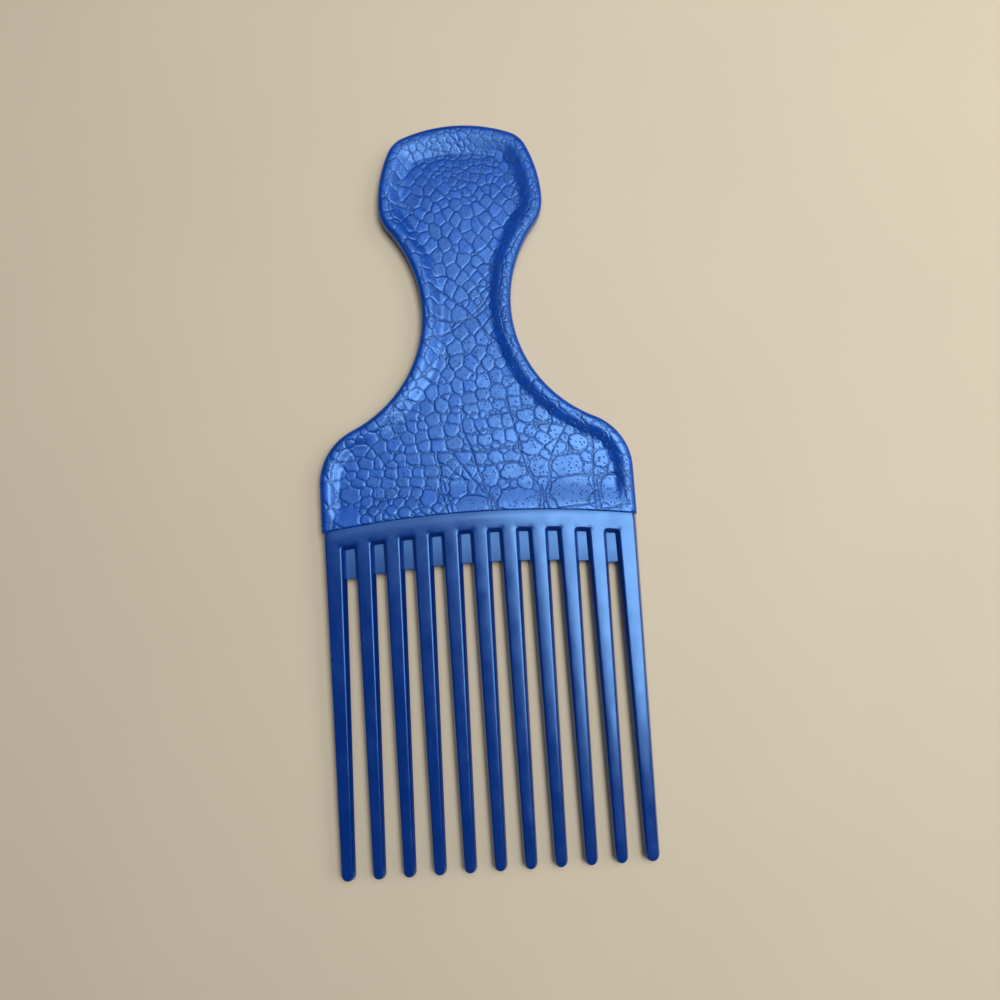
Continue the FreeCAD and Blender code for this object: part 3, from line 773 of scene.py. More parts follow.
def make_mesh(name, points, faces, fields):
    """Make a piece in the model's frame from points in millimetres and values painted on them."""
    used = np.unique(np.fromiter(itertools.chain.from_iterable(faces), int))
    number = np.zeros(len(points), int)
    number[used] = np.arange(len(used))
    number = number.tolist()
    placed = (np.asarray(points)[used] + (0.0, SEAM_Y, PARTING_Z)) * MM
    mesh = bpy.data.meshes.new(name)
    mesh.from_pydata(placed.tolist(), [], [tuple(number[corner] for corner in face) for face in faces])
    mesh.polygons.foreach_set("use_smooth", np.ones(len(mesh.polygons), bool))
    for field, values in fields.items():
        flags = values.dtype == bool
        painted = mesh.attributes.new(field, "BOOLEAN" if flags else "FLOAT", "POINT")
        painted.data.foreach_set("value", values[used].astype(bool if flags else np.float32))
    mesh.update()
    piece = bpy.data.objects.new(name, mesh)
    bpy.context.scene.collection.objects.link(piece)
    return piece


def fill_loop(points, loop):
    """Return the triangles that fill a closed loop of points and use every point inside it."""
    edges = list(zip(loop, loop[1:] + loop[:1]))
    flat = [Vector(place) for place in points]
    _, _, faces, origins, _, _ = delaunay_2d_cdt(flat, edges, [], INSIDE_ONLY, SAME_PLACE)
    return [tuple(origins[corner][0] for corner in face) for face in faces]


def lattice_points(low, high, step):
    """Return a lattice of equal triangles, and which of its points belong to the lattice twice as wide."""
    columns = np.arange(low[0], high[0], step)
    lines = np.arange(low[1], high[1], step * math.sqrt(0.75))
    across, along = np.meshgrid(columns, lines)
    order = np.arange(len(lines))[:, None]
    across = across + 0.5 * step * (order % 2)
    coarse = (order % 2 == 0) & ((np.arange(len(columns))[None, :] + order // 2) % 2 == 0)
    return across.ravel(), along.ravel(), coarse.ravel()


# Shape of the handle's face: widths of the rim at heights above the seam, and how its slope is rounded.
RIM_HEIGHTS = (0.0, 12.0, 30.0, 50.0, 76.0, 86.0, 91.0)
RIM_WIDTHS = (4.6, 5.2, 5.6, 5.7, 6.3, 6.6, 7.2)
SLOPE_SOFTNESS = 0.3
RAMP_START = 0.5
SCOOP_START, SCOOP_LENGTH = 70.0, 19.0
LIP_SHARE, LIP_START, LIP_FADE, LIP_WIDTH = 0.11, 83.0, 4.0, 1.0

# Where the grain is quieter: on the right slope and towards the crown. It ends on the outer edge.
QUIET_SLOPE, QUIET_SLOPE_FADE = 2.8, 6.0
QUIET_CROWN, QUIET_CROWN_START, QUIET_CROWN_FADE = 0.4, 76.0, 9.0
GRAIN_EDGE, GRAIN_FADE = 0.1, 0.8

# Mesh of the handle's face: rings over the edge, stations along them, and rows beside the seam.
EDGE_RINGS = 10
STATION_SPACING = 0.32
SEAM_SPACING = 0.2
SEAM_ROWS = (0.0, 0.05, 0.12, 0.2, 0.29, 0.4)
SEAM_CLEAR = 0.48
DETAIL_SHARE, SETTLE_SHARE = 0.4, 0.55
SHARP_ANGLE = math.radians(85)


def grain_share(inset):
    """Return how much of the grain shows at distances from the outline."""
    return ease((inset - GRAIN_EDGE) / GRAIN_FADE)


def handle_surface(sizes, outline, grain, across, along, inset, mirrored):
    """Return the height of the handle's face above the parting plane."""
    full = PARTING_Z - BOX_CLEARANCE
    edge, crest = sizes.edge_radius / MM, sizes.crest_width / MM
    above_seam = outline.seam_distance(across, along)
    rim = np.interp(along, RIM_HEIGHTS, RIM_WIDTHS)
    rounded = np.sqrt(np.maximum(edge**2 - np.square(edge - np.minimum(inset, edge)), 0.0)) - edge
    slope = straight_fall((inset - edge - crest) / (rim - edge - crest), SLOPE_SOFTNESS)
    ramp = ease((above_seam - RAMP_START) / (sizes.ramp_length / MM))
    scoop = sizes.top_scoop / MM * np.square(np.clip((along - SCOOP_START) / SCOOP_LENGTH, 0.0, 1.0))
    depth = (sizes.dish_depth / MM + scoop) * ramp
    # Below the crown the last part of the slope is steeper, as a lip round the top of the dish.
    lip = LIP_SHARE * ease((along - LIP_START) / LIP_FADE)
    slope = slope * (1.0 - lip) + ease((inset - rim + LIP_WIDTH) / LIP_WIDTH) * lip
    seam_edge = np.clip(1.0 - above_seam / (sizes.seam_round / MM), 0.0, 1.0)
    flip = -1.0 if mirrored else 1.0
    quiet = 1.0 - QUIET_SLOPE * slope * (1.0 - slope) * ease(flip * across / QUIET_SLOPE_FADE)
    quiet = quiet * (1.0 - QUIET_CROWN * ease((along - QUIET_CROWN_START) / QUIET_CROWN_FADE))
    relief = quiet * grain.sample(grain.height, flip * across, along) * grain_share(inset)
    rolled = sizes.seam_drop / MM * np.square(seam_edge)
    return full + rounded - depth * slope - rolled + np.minimum(relief, 0.0)


def inner_points(outline, grain, edge, spacing, flip):
    """Return the points inside the rolled edge of a face, fine beside the grooves and settled on them."""
    low, high = (RASTER_LEFT, RASTER_LOW), (RASTER_RIGHT, RASTER_HIGH)
    across, along, coarse = lattice_points(low, high, spacing)
    inset = outline.distance(across, along)
    above_seam = outline.seam_distance(across, along)
    detailed = grain.sample(grain.detail.astype(float), flip * across, along) > DETAIL_SHARE
    kept = (inset > edge + 0.5 * spacing) & (above_seam > SEAM_CLEAR) & (coarse | detailed)
    across, along = settle_on_grooves(grain, flip * across[kept], along[kept], SETTLE_SHARE * spacing)
    return np.stack([flip * across, along], 1)


def make_handle_face(context, grain, name, material, spacing, mirrored):
    """Make one face of the handle with its half of the side wall, closed along the parting plane."""
    sizes = context.scene.pick_handle
    outline = HandleOutline(sizes)
    flip = -1.0 if mirrored else 1.0
    edge = sizes.edge_radius / MM
    insets = [edge * (1 - math.cos(turn)) for turn in np.linspace(0.0, math.pi / 2, EDGE_RINGS)]
    rings = np.array([outline.points(inset, STATION_SPACING) for inset in insets])
    ring_count, station_count = rings.shape[:2]
    seam_half = abs(rings[-1][0][0])
    seam_x = np.arange(-seam_half + SEAM_SPACING, seam_half - SEAM_SPACING / 2, SEAM_SPACING)
    rows = [seam_line(outline.seam_radius, seam_x, above) for above in SEAM_ROWS]
    inner = np.concatenate([*rows, inner_points(outline, grain, edge, spacing, flip)])
    places = np.concatenate([*rings, inner])
    depth_in = np.concatenate([np.repeat(insets, station_count), outline.distance(*inner.T)])
    height = handle_surface(sizes, outline, grain, places[:, 0], places[:, 1], depth_in, mirrored)
    top = np.column_stack([places, height])
    faces = ring_faces(ring_count, station_count)
    last = (ring_count - 1) * station_count
    seam_start = ring_count * station_count
    seam_ids = list(range(seam_start, seam_start + len(seam_x)))
    loop = list(range(last, last + station_count)) + seam_ids
    inner_faces = fill_loop(places[last:], [corner - last for corner in loop])
    faces.extend(tuple(corner + last for corner in face) for face in inner_faces)
    # The side wall and the end along the seam go down to the parting plane, which closes the piece.
    left_ends = [ring * station_count + station_count - 1 for ring in range(1, ring_count)]
    right_ends = [ring * station_count for ring in range(ring_count - 1, 0, -1)]
    rim_loop = list(range(station_count)) + left_ends + seam_ids + right_ends
    foot = top[rim_loop] * (1.0, 1.0, 0.0)
    foot_start = len(top)
    count = len(rim_loop)
    for index in range(count):
        after = (index + 1) % count
        faces.append((foot_start + index, foot_start + after, rim_loop[after], rim_loop[index]))
    underside = fill_loop(foot[:, :2], list(range(count)))
    faces.extend(tuple(foot_start + corner for corner in reversed(face)) for face in underside)
    points = np.concatenate([top, foot])
    if mirrored:
        points = points * (1.0, 1.0, -1.0)
        faces = [tuple(reversed(face)) for face in faces]
    fade = np.concatenate([grain_share(depth_in), np.zeros(count)])
    fields = {}
    # The groove, crinkle and pore values later paint shade into the hollows; the tone changes at random from
    # scale to scale.
    for field, plain in (("groove", 0.0), ("tone", PLAIN_TONE), ("crinkle", 0.0), ("pored", 0.0)):
        values = grain.sample(getattr(grain, field), flip * points[:, 0], points[:, 1])
        fields[field] = values * fade + plain * (1 - fade)
    piece = make_mesh(name, points, faces, fields)
    # The edge along the parting plane is sharp, so that the side wall is shaded straight down to it.
    piece.data.set_sharp_from_angle(angle=SHARP_ANGLE)
    piece.data.materials.append(material)
    return piece


# Node trees. The comb's wall along the seam and the distance at which its halves join are in millimetres.

SMOOTH_ANGLE = math.radians(34)
SEAM_WALL = 0.004
SEAM_MERGE = 0.0006
WEB_EDGE_STEPS = 4


class NodeMaker:
    """Adds nodes to a tree"""

    def __init__(self, tree):
        self.tree = tree

    def node(self, kind, inputs=(), **settings):
        """Add a node, set its options and join or set its inputs by name or number."""
        node = self.tree.nodes.new(kind)
        for option, setting in settings.items():
            setattr(node, option, setting)
        for place, source in dict(inputs).items():
            if isinstance(source, bpy.types.NodeSocket):
                self.tree.links.new(source, node.inputs[place])
            else:
                node.inputs[place].default_value = source
        return node

    def math(self, operation, *values):
        """Add a maths node and return its result."""
        return self.node("ShaderNodeMath", dict(enumerate(values)), operation=operation).outputs[0]


class NodeTree(NodeMaker):
    """Builds a tree of geometry nodes with named inputs"""

    def __init__(self, name):
        super().__init__(bpy.data.node_groups.new(name, "GeometryNodeTree"))
        self.names = {}
        self.tree.interface.new_socket("Geometry", in_out="INPUT", socket_type="NodeSocketGeometry")
        self.tree.interface.new_socket("Geometry", in_out="OUTPUT", socket_type="NodeSocketGeometry")
        self.start = self.tree.nodes.new("NodeGroupInput")
        self.end = self.tree.nodes.new("NodeGroupOutput")

    def value(self, name, kind="Float"):
        """Add a named input and return its socket."""
        socket = self.tree.interface.new_socket(name, in_out="INPUT", socket_type=f"NodeSocket{kind}")
        self.names[name] = socket.identifier
        return self.start.outputs[name]

    def vector(self, **parts):
        """Return a vector made of the parts that are given."""
        return self.node("ShaderNodeCombineXYZ", parts).outputs[0]

    def minus(self, value):
        """Return a value with its sign turned."""
        return self.math("MULTIPLY", value, -1.0)

    def fall(self, height, distance, width, drop):
        """Return a height that falls away towards an edge, by so much over so wide a strip."""
        reach = self.math("MINIMUM", self.math("DIVIDE", distance, width), 1.0)
        rest = self.math("SUBTRACT", 1.0, reach)
        return self.math("SUBTRACT", height, self.math("MULTIPLY", self.math("MULTIPLY", rest, rest), drop))

    def finish(self, geometry, material):
        """End the tree in plain, shaded geometry with its material."""
        real = self.node("GeometryNodeRealizeInstances", {0: geometry}).outputs[0]
        angle = self.node("GeometryNodeInputMeshEdgeAngle").outputs["Unsigned Angle"]
        soft = self.math("LESS_THAN", angle, SMOOTH_ANGLE)
        shading = {0: real, "Shade Smooth": soft}
        smooth = self.node("GeometryNodeSetShadeSmooth", shading, domain="EDGE").outputs[0]
        dressed = self.node("GeometryNodeSetMaterial", {0: smooth, "Material": material}).outputs[0]
        self.tree.links.new(dressed, self.end.inputs[0])


def apply_tree(piece, tree, values):
    """Run a tree on a piece with its inputs set, and keep the result as a plain mesh."""
    modifier = piece.modifiers.new(tree.tree.name, "NODES")
    modifier.node_group = tree.tree
    for name, setting in values.items():
        modifier[tree.names[name]] = setting
    bpy.context.view_layer.update()
    depsgraph = bpy.context.evaluated_depsgraph_get()
    made = bpy.data.meshes.new_from_object(piece.evaluated_get(depsgraph))
    if not made.polygons:
        raise RuntimeError(f"{tree.tree.name} made no faces")
    piece.modifiers.clear()
    plain = piece.data
    piece.data = made
    bpy.data.meshes.remove(plain)
    made.name = piece.name
    return piece


def raise_tree():
    """Raise a flat plan on both sides of the parting plane, with drafted sides and rounded edges."""
    tree = NodeTree("raise_comb")
    root = tree.value("Root half thickness")
    tip = tree.value("Tip half thickness")
    root_y = tree.value("Root place")
    tip_y = tree.value("Tip place")
    crisp_y = tree.value("Crisp corners above")
    rise = tree.value("Rise of the drafted side")
    softness = tree.value("Top round")
    seam_width = tree.value("Seam round")
    seam_drop = tree.value("Seam drop")
    crown_width = tree.value("Crown width")
    crown_drop = tree.value("Crown drop")
    material = tree.value("Material", "Material")
    faces_beside = tree.node("GeometryNodeInputMeshEdgeNeighbors").outputs["Face Count"]
    border = tree.node(
        "FunctionNodeCompare", {2: faces_beside, 3: 1}, data_type="INT", operation="EQUAL"
    ).outputs[0]
    on_seam = tree.node(
        "GeometryNodeInputNamedAttribute", {"Name": "on_seam"}, data_type="BOOLEAN"
    ).outputs["Attribute"]
    drafted = tree.node("FunctionNodeBooleanMath", {0: border, 1: on_seam}, operation="NIMPLY").outputs[0]
    plan = tree.start.outputs["Geometry"]
    nearest = []
    for chosen in (drafted, on_seam):
        lines = tree.node(
            "GeometryNodeSeparateGeometry", {0: plan, 1: chosen}, domain="EDGE"
        ).outputs["Selection"]
        nearest.append(tree.node("GeometryNodeProximity", {0: lines}, target_element="EDGES"))
    to_side, to_seam = (proximity.outputs["Distance"] for proximity in nearest)
    here = tree.node("GeometryNodeInputPosition").outputs[0]
    along = tree.node("ShaderNodeSeparateXYZ", {0: here}).outputs["Y"]
    # Beside the slot ends the larger of the two offsets counts, so that the drafted corners stay crisp.
    apart = tree.node(
        "ShaderNodeVectorMath", {0: here, 1: nearest[0].outputs["Position"]}, operation="SUBTRACT"
    ).outputs[0]
    apart = tree.node("ShaderNodeSeparateXYZ", {0: apart})
    aside = tree.math("ABSOLUTE", apart.outputs["X"])
    crisp = tree.math("SMOOTH_MAX", aside, tree.math("ABSOLUTE", apart.outputs["Y"]), softness)
    crisp = tree.math("MINIMUM", crisp, to_side)
    near_slot_end = tree.math("GREATER_THAN", along, crisp_y)
    crisp = tree.math("MULTIPLY", near_slot_end, crisp)
    plain = tree.math("MULTIPLY", tree.math("SUBTRACT", 1.0, near_slot_end), to_side)
    inward = tree.math("ADD", crisp, plain)
    half = tree.node(
        "ShaderNodeMapRange",
        {"Value": along, "From Min": root_y, "From Max": tip_y, "To Min": root, "To Max": tip},
    ).outputs[0]
    half = tree.fall(half, inward, crown_width, crown_drop)
    flank = tree.math("MULTIPLY", inward, rise)
    height = tree.math("SMOOTH_MIN", flank, half, softness)
    height = tree.fall(height, to_seam, seam_width, seam_drop)
    wall = tree.math("MINIMUM", tree.math("DIVIDE", to_seam, SEAM_WALL * MM), 1.0)
    height = tree.math("MAXIMUM", tree.math("MULTIPLY", height, wall), 0.0)
    front = tree.node("GeometryNodeSetPosition", {0: plan, "Offset": tree.vector(Z=height)}).outputs[0]
    down = tree.vector(Z=tree.minus(height))
    back = tree.node("GeometryNodeSetPosition", {0: plan, "Offset": down}).outputs[0]
    turned = tree.node("GeometryNodeFlipFaces", {0: back}).outputs[0]
    both = tree.node("GeometryNodeJoinGeometry")
    tree.tree.links.new(turned, both.inputs[0])
    tree.tree.links.new(front, both.inputs[0])
    closing = {0: both.outputs[0], "Distance": SEAM_MERGE * MM}
    tree.finish(tree.node("GeometryNodeMergeByDistance", closing).outputs[0], material)
    return tree


def web_tree():
    """Sweep one web with rounded edges and set a row of them between the roots, along the arch."""
    tree = NodeTree("row_of_webs")
    count = tree.value("Webs", "Int")
    pitch = tree.value("Pitch")
    arc = tree.value("Arc radius")
    arc_y = tree.value("Arc centre")
    tall = tree.value("Web length")
    thick = tree.value("Web thickness")
    wide = tree.value("Web width")
    edge = tree.value("Edge round")
    parting = tree.value("Parting height")
    material = tree.value("Material", "Material")
    box = {"Width": tall, "Height": thick}
    outline = tree.node("GeometryNodeCurvePrimitiveQuadrilateral", box).outputs[0]
    rounding = {0: outline, "Count": WEB_EDGE_STEPS, "Radius": edge}
    rounded = tree.node("GeometryNodeFilletCurve", rounding, mode="POLY").outputs[0]
    half = tree.math("DIVIDE", wide, 2.0)
    ends = {"Start": tree.vector(X=tree.minus(half)), "End": tree.vector(X=half)}
    span = tree.node("GeometryNodeCurvePrimitiveLine", ends).outputs[0]
    web = tree.node(
        "GeometryNodeCurveToMesh", {"Curve": span, "Profile Curve": rounded, "Fill Caps": True}
    ).outputs[0]
    first = tree.math("MULTIPLY", tree.math("SUBTRACT", tree.math("DIVIDE", count, 2.0), 0.5), pitch)
    start, step = tree.vector(X=tree.minus(first)), tree.vector(X=pitch)
    row = tree.node(
        "GeometryNodeMeshLine", {"Count": count, "Start Location": start, "Offset": step}, mode="OFFSET"
    ).outputs[0]
    place = tree.node("ShaderNodeSeparateXYZ", {0: tree.node("GeometryNodeInputPosition").outputs[0]})
    square = tree.math("MULTIPLY", place.outputs["X"], place.outputs["X"])
    arched = tree.math("SQRT", tree.math("SUBTRACT", tree.math("MULTIPLY", arc, arc), square))
    shift = tree.vector(Y=tree.math("ADD", arched, arc_y), Z=parting)
    bent = tree.node("GeometryNodeSetPosition", {0: row, "Offset": shift}).outputs[0]
    webs = tree.node("GeometryNodeInstanceOnPoints", {"Points": bent, "Instance": web}).outputs[0]
    tree.finish(webs, material)
    return tree


# The comb: insets of the rings along its edge, and spacing of the stations and of the points inside.

COMB_INSETS = (0.0, 0.13, 0.27, 0.41, 0.53, 0.63, 0.73, 0.85, 1.0, 1.2)
SIDE_SPACING, FLANK_SPACING, SLOT_SPACING = 0.4, 0.9, 0.35
TIP_STEPS, CORNER_STEPS = 18, 6
COMB_SEAM_ROWS = (0.0, SEAM_WALL, 0.12, 0.3, 0.6, 1.0, 1.5, 2.0)
COMB_SEAM_SPACING, COMB_SEAM_END = 0.6, 0.5
COMB_SPACING, COMB_CLEAR, COMB_SEAM_CLEAR = 1.1, 0.45, 2.4
COMB_LOW, COMB_HIGH = -84.0, 1.0
RIGHTWARD, LEFTWARD = np.array((1.0, 0.0)), np.array((-1.0, 0.0))


def run_points(start, end, spacing, normal=None):
    """Return stations on a straight run with their inward normals, the last end left out."""
    normal = left_of(start, end) if normal is None else normal
    count = max(1, round(float(np.linalg.norm(end - start)) / spacing))
    part = np.linspace(0.0, 1.0, count, endpoint=False)[:, None]
    return start + part * (end - start), np.tile(normal, (count, 1))


def round_points(centre, radius, first, last, count, inward):
    """Return stations on a round with their inward normals, the last end left out."""
    turn = np.linspace(first, last, count, endpoint=False)
    spoke = np.stack([np.cos(turn), np.sin(turn)], 1)
    return centre + radius * spoke, inward * spoke


def left_of(start, end):
    """Return the unit normal on the left of a run."""
    step = (end - start) / np.linalg.norm(end - start)
    return np.array((-step[1], step[0]))


class ToothPlan:
    """One tooth in plan: two flanks that touch the round of the tip"""

    def __init__(self, sizes, number, count):
        outer = -1 if number == 0 else 1 if number == count - 1 else 0
        extra = sizes.edge_extra * abs(outer)
        self.across = (number - (count - 1) / 2) * sizes.pitch + outer * extra / 2
        self.tip_radius = (sizes.tip + extra) / 2
        self.tip = np.array((self.across, -(sizes.reach - self.tip_radius)))
        root_y = float(arch(sizes.seam_radius - sizes.bar / 2, sizes.seam_radius, self.across))
        half = (sizes.root + extra) / 2
        self.roots = [np.array((self.across + side * half, root_y)) for side in (-1, 1)]
        self.touches = []
        for side, root in zip((-1, 1), self.roots):
            reach = root - self.tip
            swing = math.acos(self.tip_radius / np.linalg.norm(reach))
            turn = bearing(self.tip, root) - side * swing
            self.touches.append(self.tip + self.tip_radius * np.array((math.cos(turn), math.sin(turn))))

    def flank_at(self, side, along):
        """Return the place on a flank at a height along the pick."""
        start, end = self.touches[side], self.roots[side]
        part = (along - start[1]) / (end[1] - start[1])
        return start + part * (end - start)


class CombNumbers:
    """The comb's sizes in millimetres"""

    def __init__(self, comb, handle):
        self.half = comb.half_width / MM
        self.edge_extra = comb.edge_extra / MM
        self.seam_radius = handle.seam_radius / MM
        self.pitch = comb.tooth_pitch / MM
        self.tip = comb.tip_width / MM
        self.root = comb.root_width / MM
        self.reach = comb.tooth_reach / MM
        self.bar = comb.bar_height / MM
        self.corner = comb.slot_corner / MM


def slot_corner(flank_start, corner, end, radius):
    """Return where the round between a flank and the end of a slot begins and ends, and its centre."""
    back = (flank_start - corner) / np.linalg.norm(flank_start - corner)
    ahead = (end - corner) / np.linalg.norm(end - corner)
    half = math.acos(float(np.clip(back @ ahead, -1, 1))) / 2
    reach = radius / math.tan(half)
    middle = (back + ahead) / np.linalg.norm(back + ahead)
    return corner + reach * back, corner + reach * ahead, corner + radius / math.sin(half) * middle


def corner_points(centre, radius, begin, end):
    """Return stations on the round of a slot's corner, turning the short way."""
    first, last = bearing(centre, begin), bearing(centre, end)
    last = last - 2 * math.pi if last > first + math.pi else last
    last = last + 2 * math.pi if last < first - math.pi else last
    return round_points(centre, radius, first, last, CORNER_STEPS, 1.0)


def slot_runs(sizes, tooth, after):
    """Return the stations up one side of a slot and across its end, and where its other side begins."""
    slot_radius = sizes.seam_radius - sizes.bar
    middle = (tooth.across + after.across) / 2
    end_y = float(arch(slot_radius, sizes.seam_radius, middle))
    tilt = -middle / slot_radius
    ends = []
    for side, plan in ((1, tooth), (0, after)):
        level = end_y + tilt * (plan.flank_at(side, end_y)[0] - middle)
        ends.append(plan.flank_at(side, level))
    rise_end, round_end, centre = slot_corner(tooth.touches[1], ends[0], ends[1], sizes.corner)
    fall_start, second_start, second_centre = slot_corner(after.touches[0], ends[1], ends[0], sizes.corner)
    runs = [
        run_points(tooth.touches[1], rise_end, FLANK_SPACING),
        corner_points(centre, sizes.corner, rise_end, round_end),
        run_points(round_end, second_start, SLOT_SPACING),
        corner_points(second_centre, sizes.corner, second_start, fall_start),
    ]
    return runs, fall_start


def comb_outline(sizes, count):
    """Return stations round the comb with inward normals, from the left end of the seam to the right."""
    teeth = [ToothPlan(sizes, number, count) for number in range(count)]
    half, seam_end = sizes.half, float(arch(sizes.seam_radius, sizes.seam_radius, sizes.half))
    corner = np.array((-half, seam_end))
    side_start, side_end = teeth[0].roots[0], teeth[-1].roots[1]
    runs = [(corner[None, :], RIGHTWARD[None, :])]
    runs.append(run_points(corner - (0.0, SEAM_WALL), side_start, SIDE_SPACING, RIGHTWARD))
    flank_start = side_start
    for tooth, after in zip(teeth, teeth[1:] + [None]):
        runs.append(run_points(flank_start, tooth.touches[0], FLANK_SPACING))
        first, last = (bearing(tooth.tip, touch) for touch in tooth.touches)
        first = first if first < 0 else first - 2 * math.pi
        runs.append(round_points(tooth.tip, tooth.tip_radius, first, last, TIP_STEPS, -1.0))
        if after is not None:
            slot, flank_start = slot_runs(sizes, tooth, after)
            runs.extend(slot)
    runs.append(run_points(teeth[-1].touches[1], side_end, FLANK_SPACING))
    below = np.array((half, seam_end - SEAM_WALL))
    runs.append(run_points(side_end, below, SIDE_SPACING, LEFTWARD))
    runs.append((np.array([below, (half, seam_end)]), np.array([LEFTWARD] * 2)))
    stations = np.concatenate([run[0] for run in runs])
    normals = np.concatenate([run[1] for run in runs])
    return stations, normals


def make_comb_plan(sizes, count):
    """Make the flat plan of the bar and the teeth, in rings along its edge and an even fill."""
    stations, normals = comb_outline(sizes, count)
    half, seam_radius = sizes.half, sizes.seam_radius
    rings = np.array([stations + inset * normals for inset in COMB_INSETS])
    for end, lower in ((0, 1), (-1, -2)):
        rings[:, end, 1] = arch(seam_radius, seam_radius, rings[:, end, 0])
        rings[:, lower, 1] = rings[:, end, 1] - SEAM_WALL
    ring_count, station_count = rings.shape[:2]
    inner_half = half - COMB_INSETS[-1]
    seam_x = np.arange(inner_half - COMB_SEAM_SPACING, -inner_half + COMB_SEAM_END, -COMB_SEAM_SPACING)
    rows = [seam_line(seam_radius, seam_x, -below) for below in COMB_SEAM_ROWS]
    across, along, _ = lattice_points((-half, COMB_LOW), (half, COMB_HIGH), COMB_SPACING)
    places = np.stack([across, along], 1)
    clear = np.array([np.min(np.hypot(*(stations - place).T)) for place in places])
    below_seam = seam_radius - np.hypot(across, along + seam_radius)
    inner = places[(clear > COMB_INSETS[-1] + COMB_CLEAR) & (below_seam > COMB_SEAM_CLEAR)]
    points = np.concatenate([*rings, *rows, inner])
    faces = ring_faces(ring_count, station_count)
    last = (ring_count - 1) * station_count
    seam_start = ring_count * station_count
    filled = fill_loop(points[last:], list(range(station_count + len(seam_x))))
    faces.extend(tuple(corner + last for corner in face) for face in filled)
    on_seam = np.zeros(len(points), bool)
    on_seam[seam_start : seam_start + len(seam_x)] = True
    on_seam[0:seam_start:station_count] = True
    on_seam[station_count - 1 : seam_start : station_count] = True
    flat = np.column_stack([points, np.zeros(len(points))])
    return make_mesh("comb_head", flat, faces, {"on_seam": on_seam})


# Materials. Sizes are in millimetres, and tones are shares of the plastic's own colour.

MIX_FIRST, MIX_SECOND, MIX_RESULT = 6, 7, 2
# Painted reflection: the Specular Tint colours the reflections of the white lamps sky blue.
PLASTIC_SHEEN_SKY_TINT = {"IOR": 1.6, "Specular IOR Level": 1.0, "Specular Tint": (0.25, 0.54, 1.0, 1.0)}
FLOOR_SHEEN = {"Roughness": 0.85, "Specular IOR Level": 0.2}
CELL_WAVE, CELL_WANDER = 0.9, 0.5
CLOUD_SPAN, PATCHY_SPAN = (0.35, 0.65), (0.3, 0.7)
SMOOTHER, ROUGHER, WORN_OR_SHADED_ROUGHER = -0.04, 0.05, 0.3

# Grained plastic: tones of the scales, clouds, painted shade in the cracks and pores, and mould texture.
SCALE_TONES = (0.8, 1.16)
GRAINED_CLOUD, GRAINED_CLOUD_SHARE, GRAINED_CLOUD_TONE = 11.0, 0.22, 1.3
CRACK_SIZE, CRACK_WIDTH, CRACK_SHARE = 0.75, 0.15, 0.6
PORE_SIZE, PORE_TURN, PORE_STRETCH = 0.7, math.radians(-35), 0.55
PORE_CHANCE, PORE_CORE, PORE_RIM, PORE_SHARE = 0.52, 0.14, 0.27, 0.7
# How strongly the grooves are painted with shade.
GROOVE_SHARE = 0.85
GRAINED_PATCHY = 6.0
PIT_DEPTH, PIT_STRENGTH = 0.06, 1.0
GRAINED_TEXTURE, GRAINED_TEXTURE_DEPTH, GRAINED_TEXTURE_STRENGTH = 0.22, 0.03, 0.4

# Smooth plastic: clouds, rubbed places, waves and mould texture.
FLOW_TONES = (0.92, 1.2)
SMOOTH_CLOUD, SMOOTH_CLOUD_SHARE = 14.0, 0.3
RUB_SIZE, RUB_DETAIL, RUB_STRETCH = 3.2, 5.0, (1.0, 0.3, 1.0)
RUB_SPAN, RUB_SHARE, RUB_TONE = (0.45, 0.8), 0.25, 1.4
SMOOTH_PATCHY = 5.0
WAVE_SIZE, WAVE_DETAIL, WAVE_STRETCH = 2.4, 2.0, (1.0, 0.5, 1.0)
WAVE_DEPTH, WAVE_STRENGTH = 0.05, 0.06
SMOOTH_TEXTURE, SMOOTH_TEXTURE_DEPTH, SMOOTH_TEXTURE_STRENGTH = 0.16, 0.012, 0.12

# The floor's faint clouds.
FLOOR_CLOUD, FLOOR_TONES = 60.0, (0.985, 1.015)


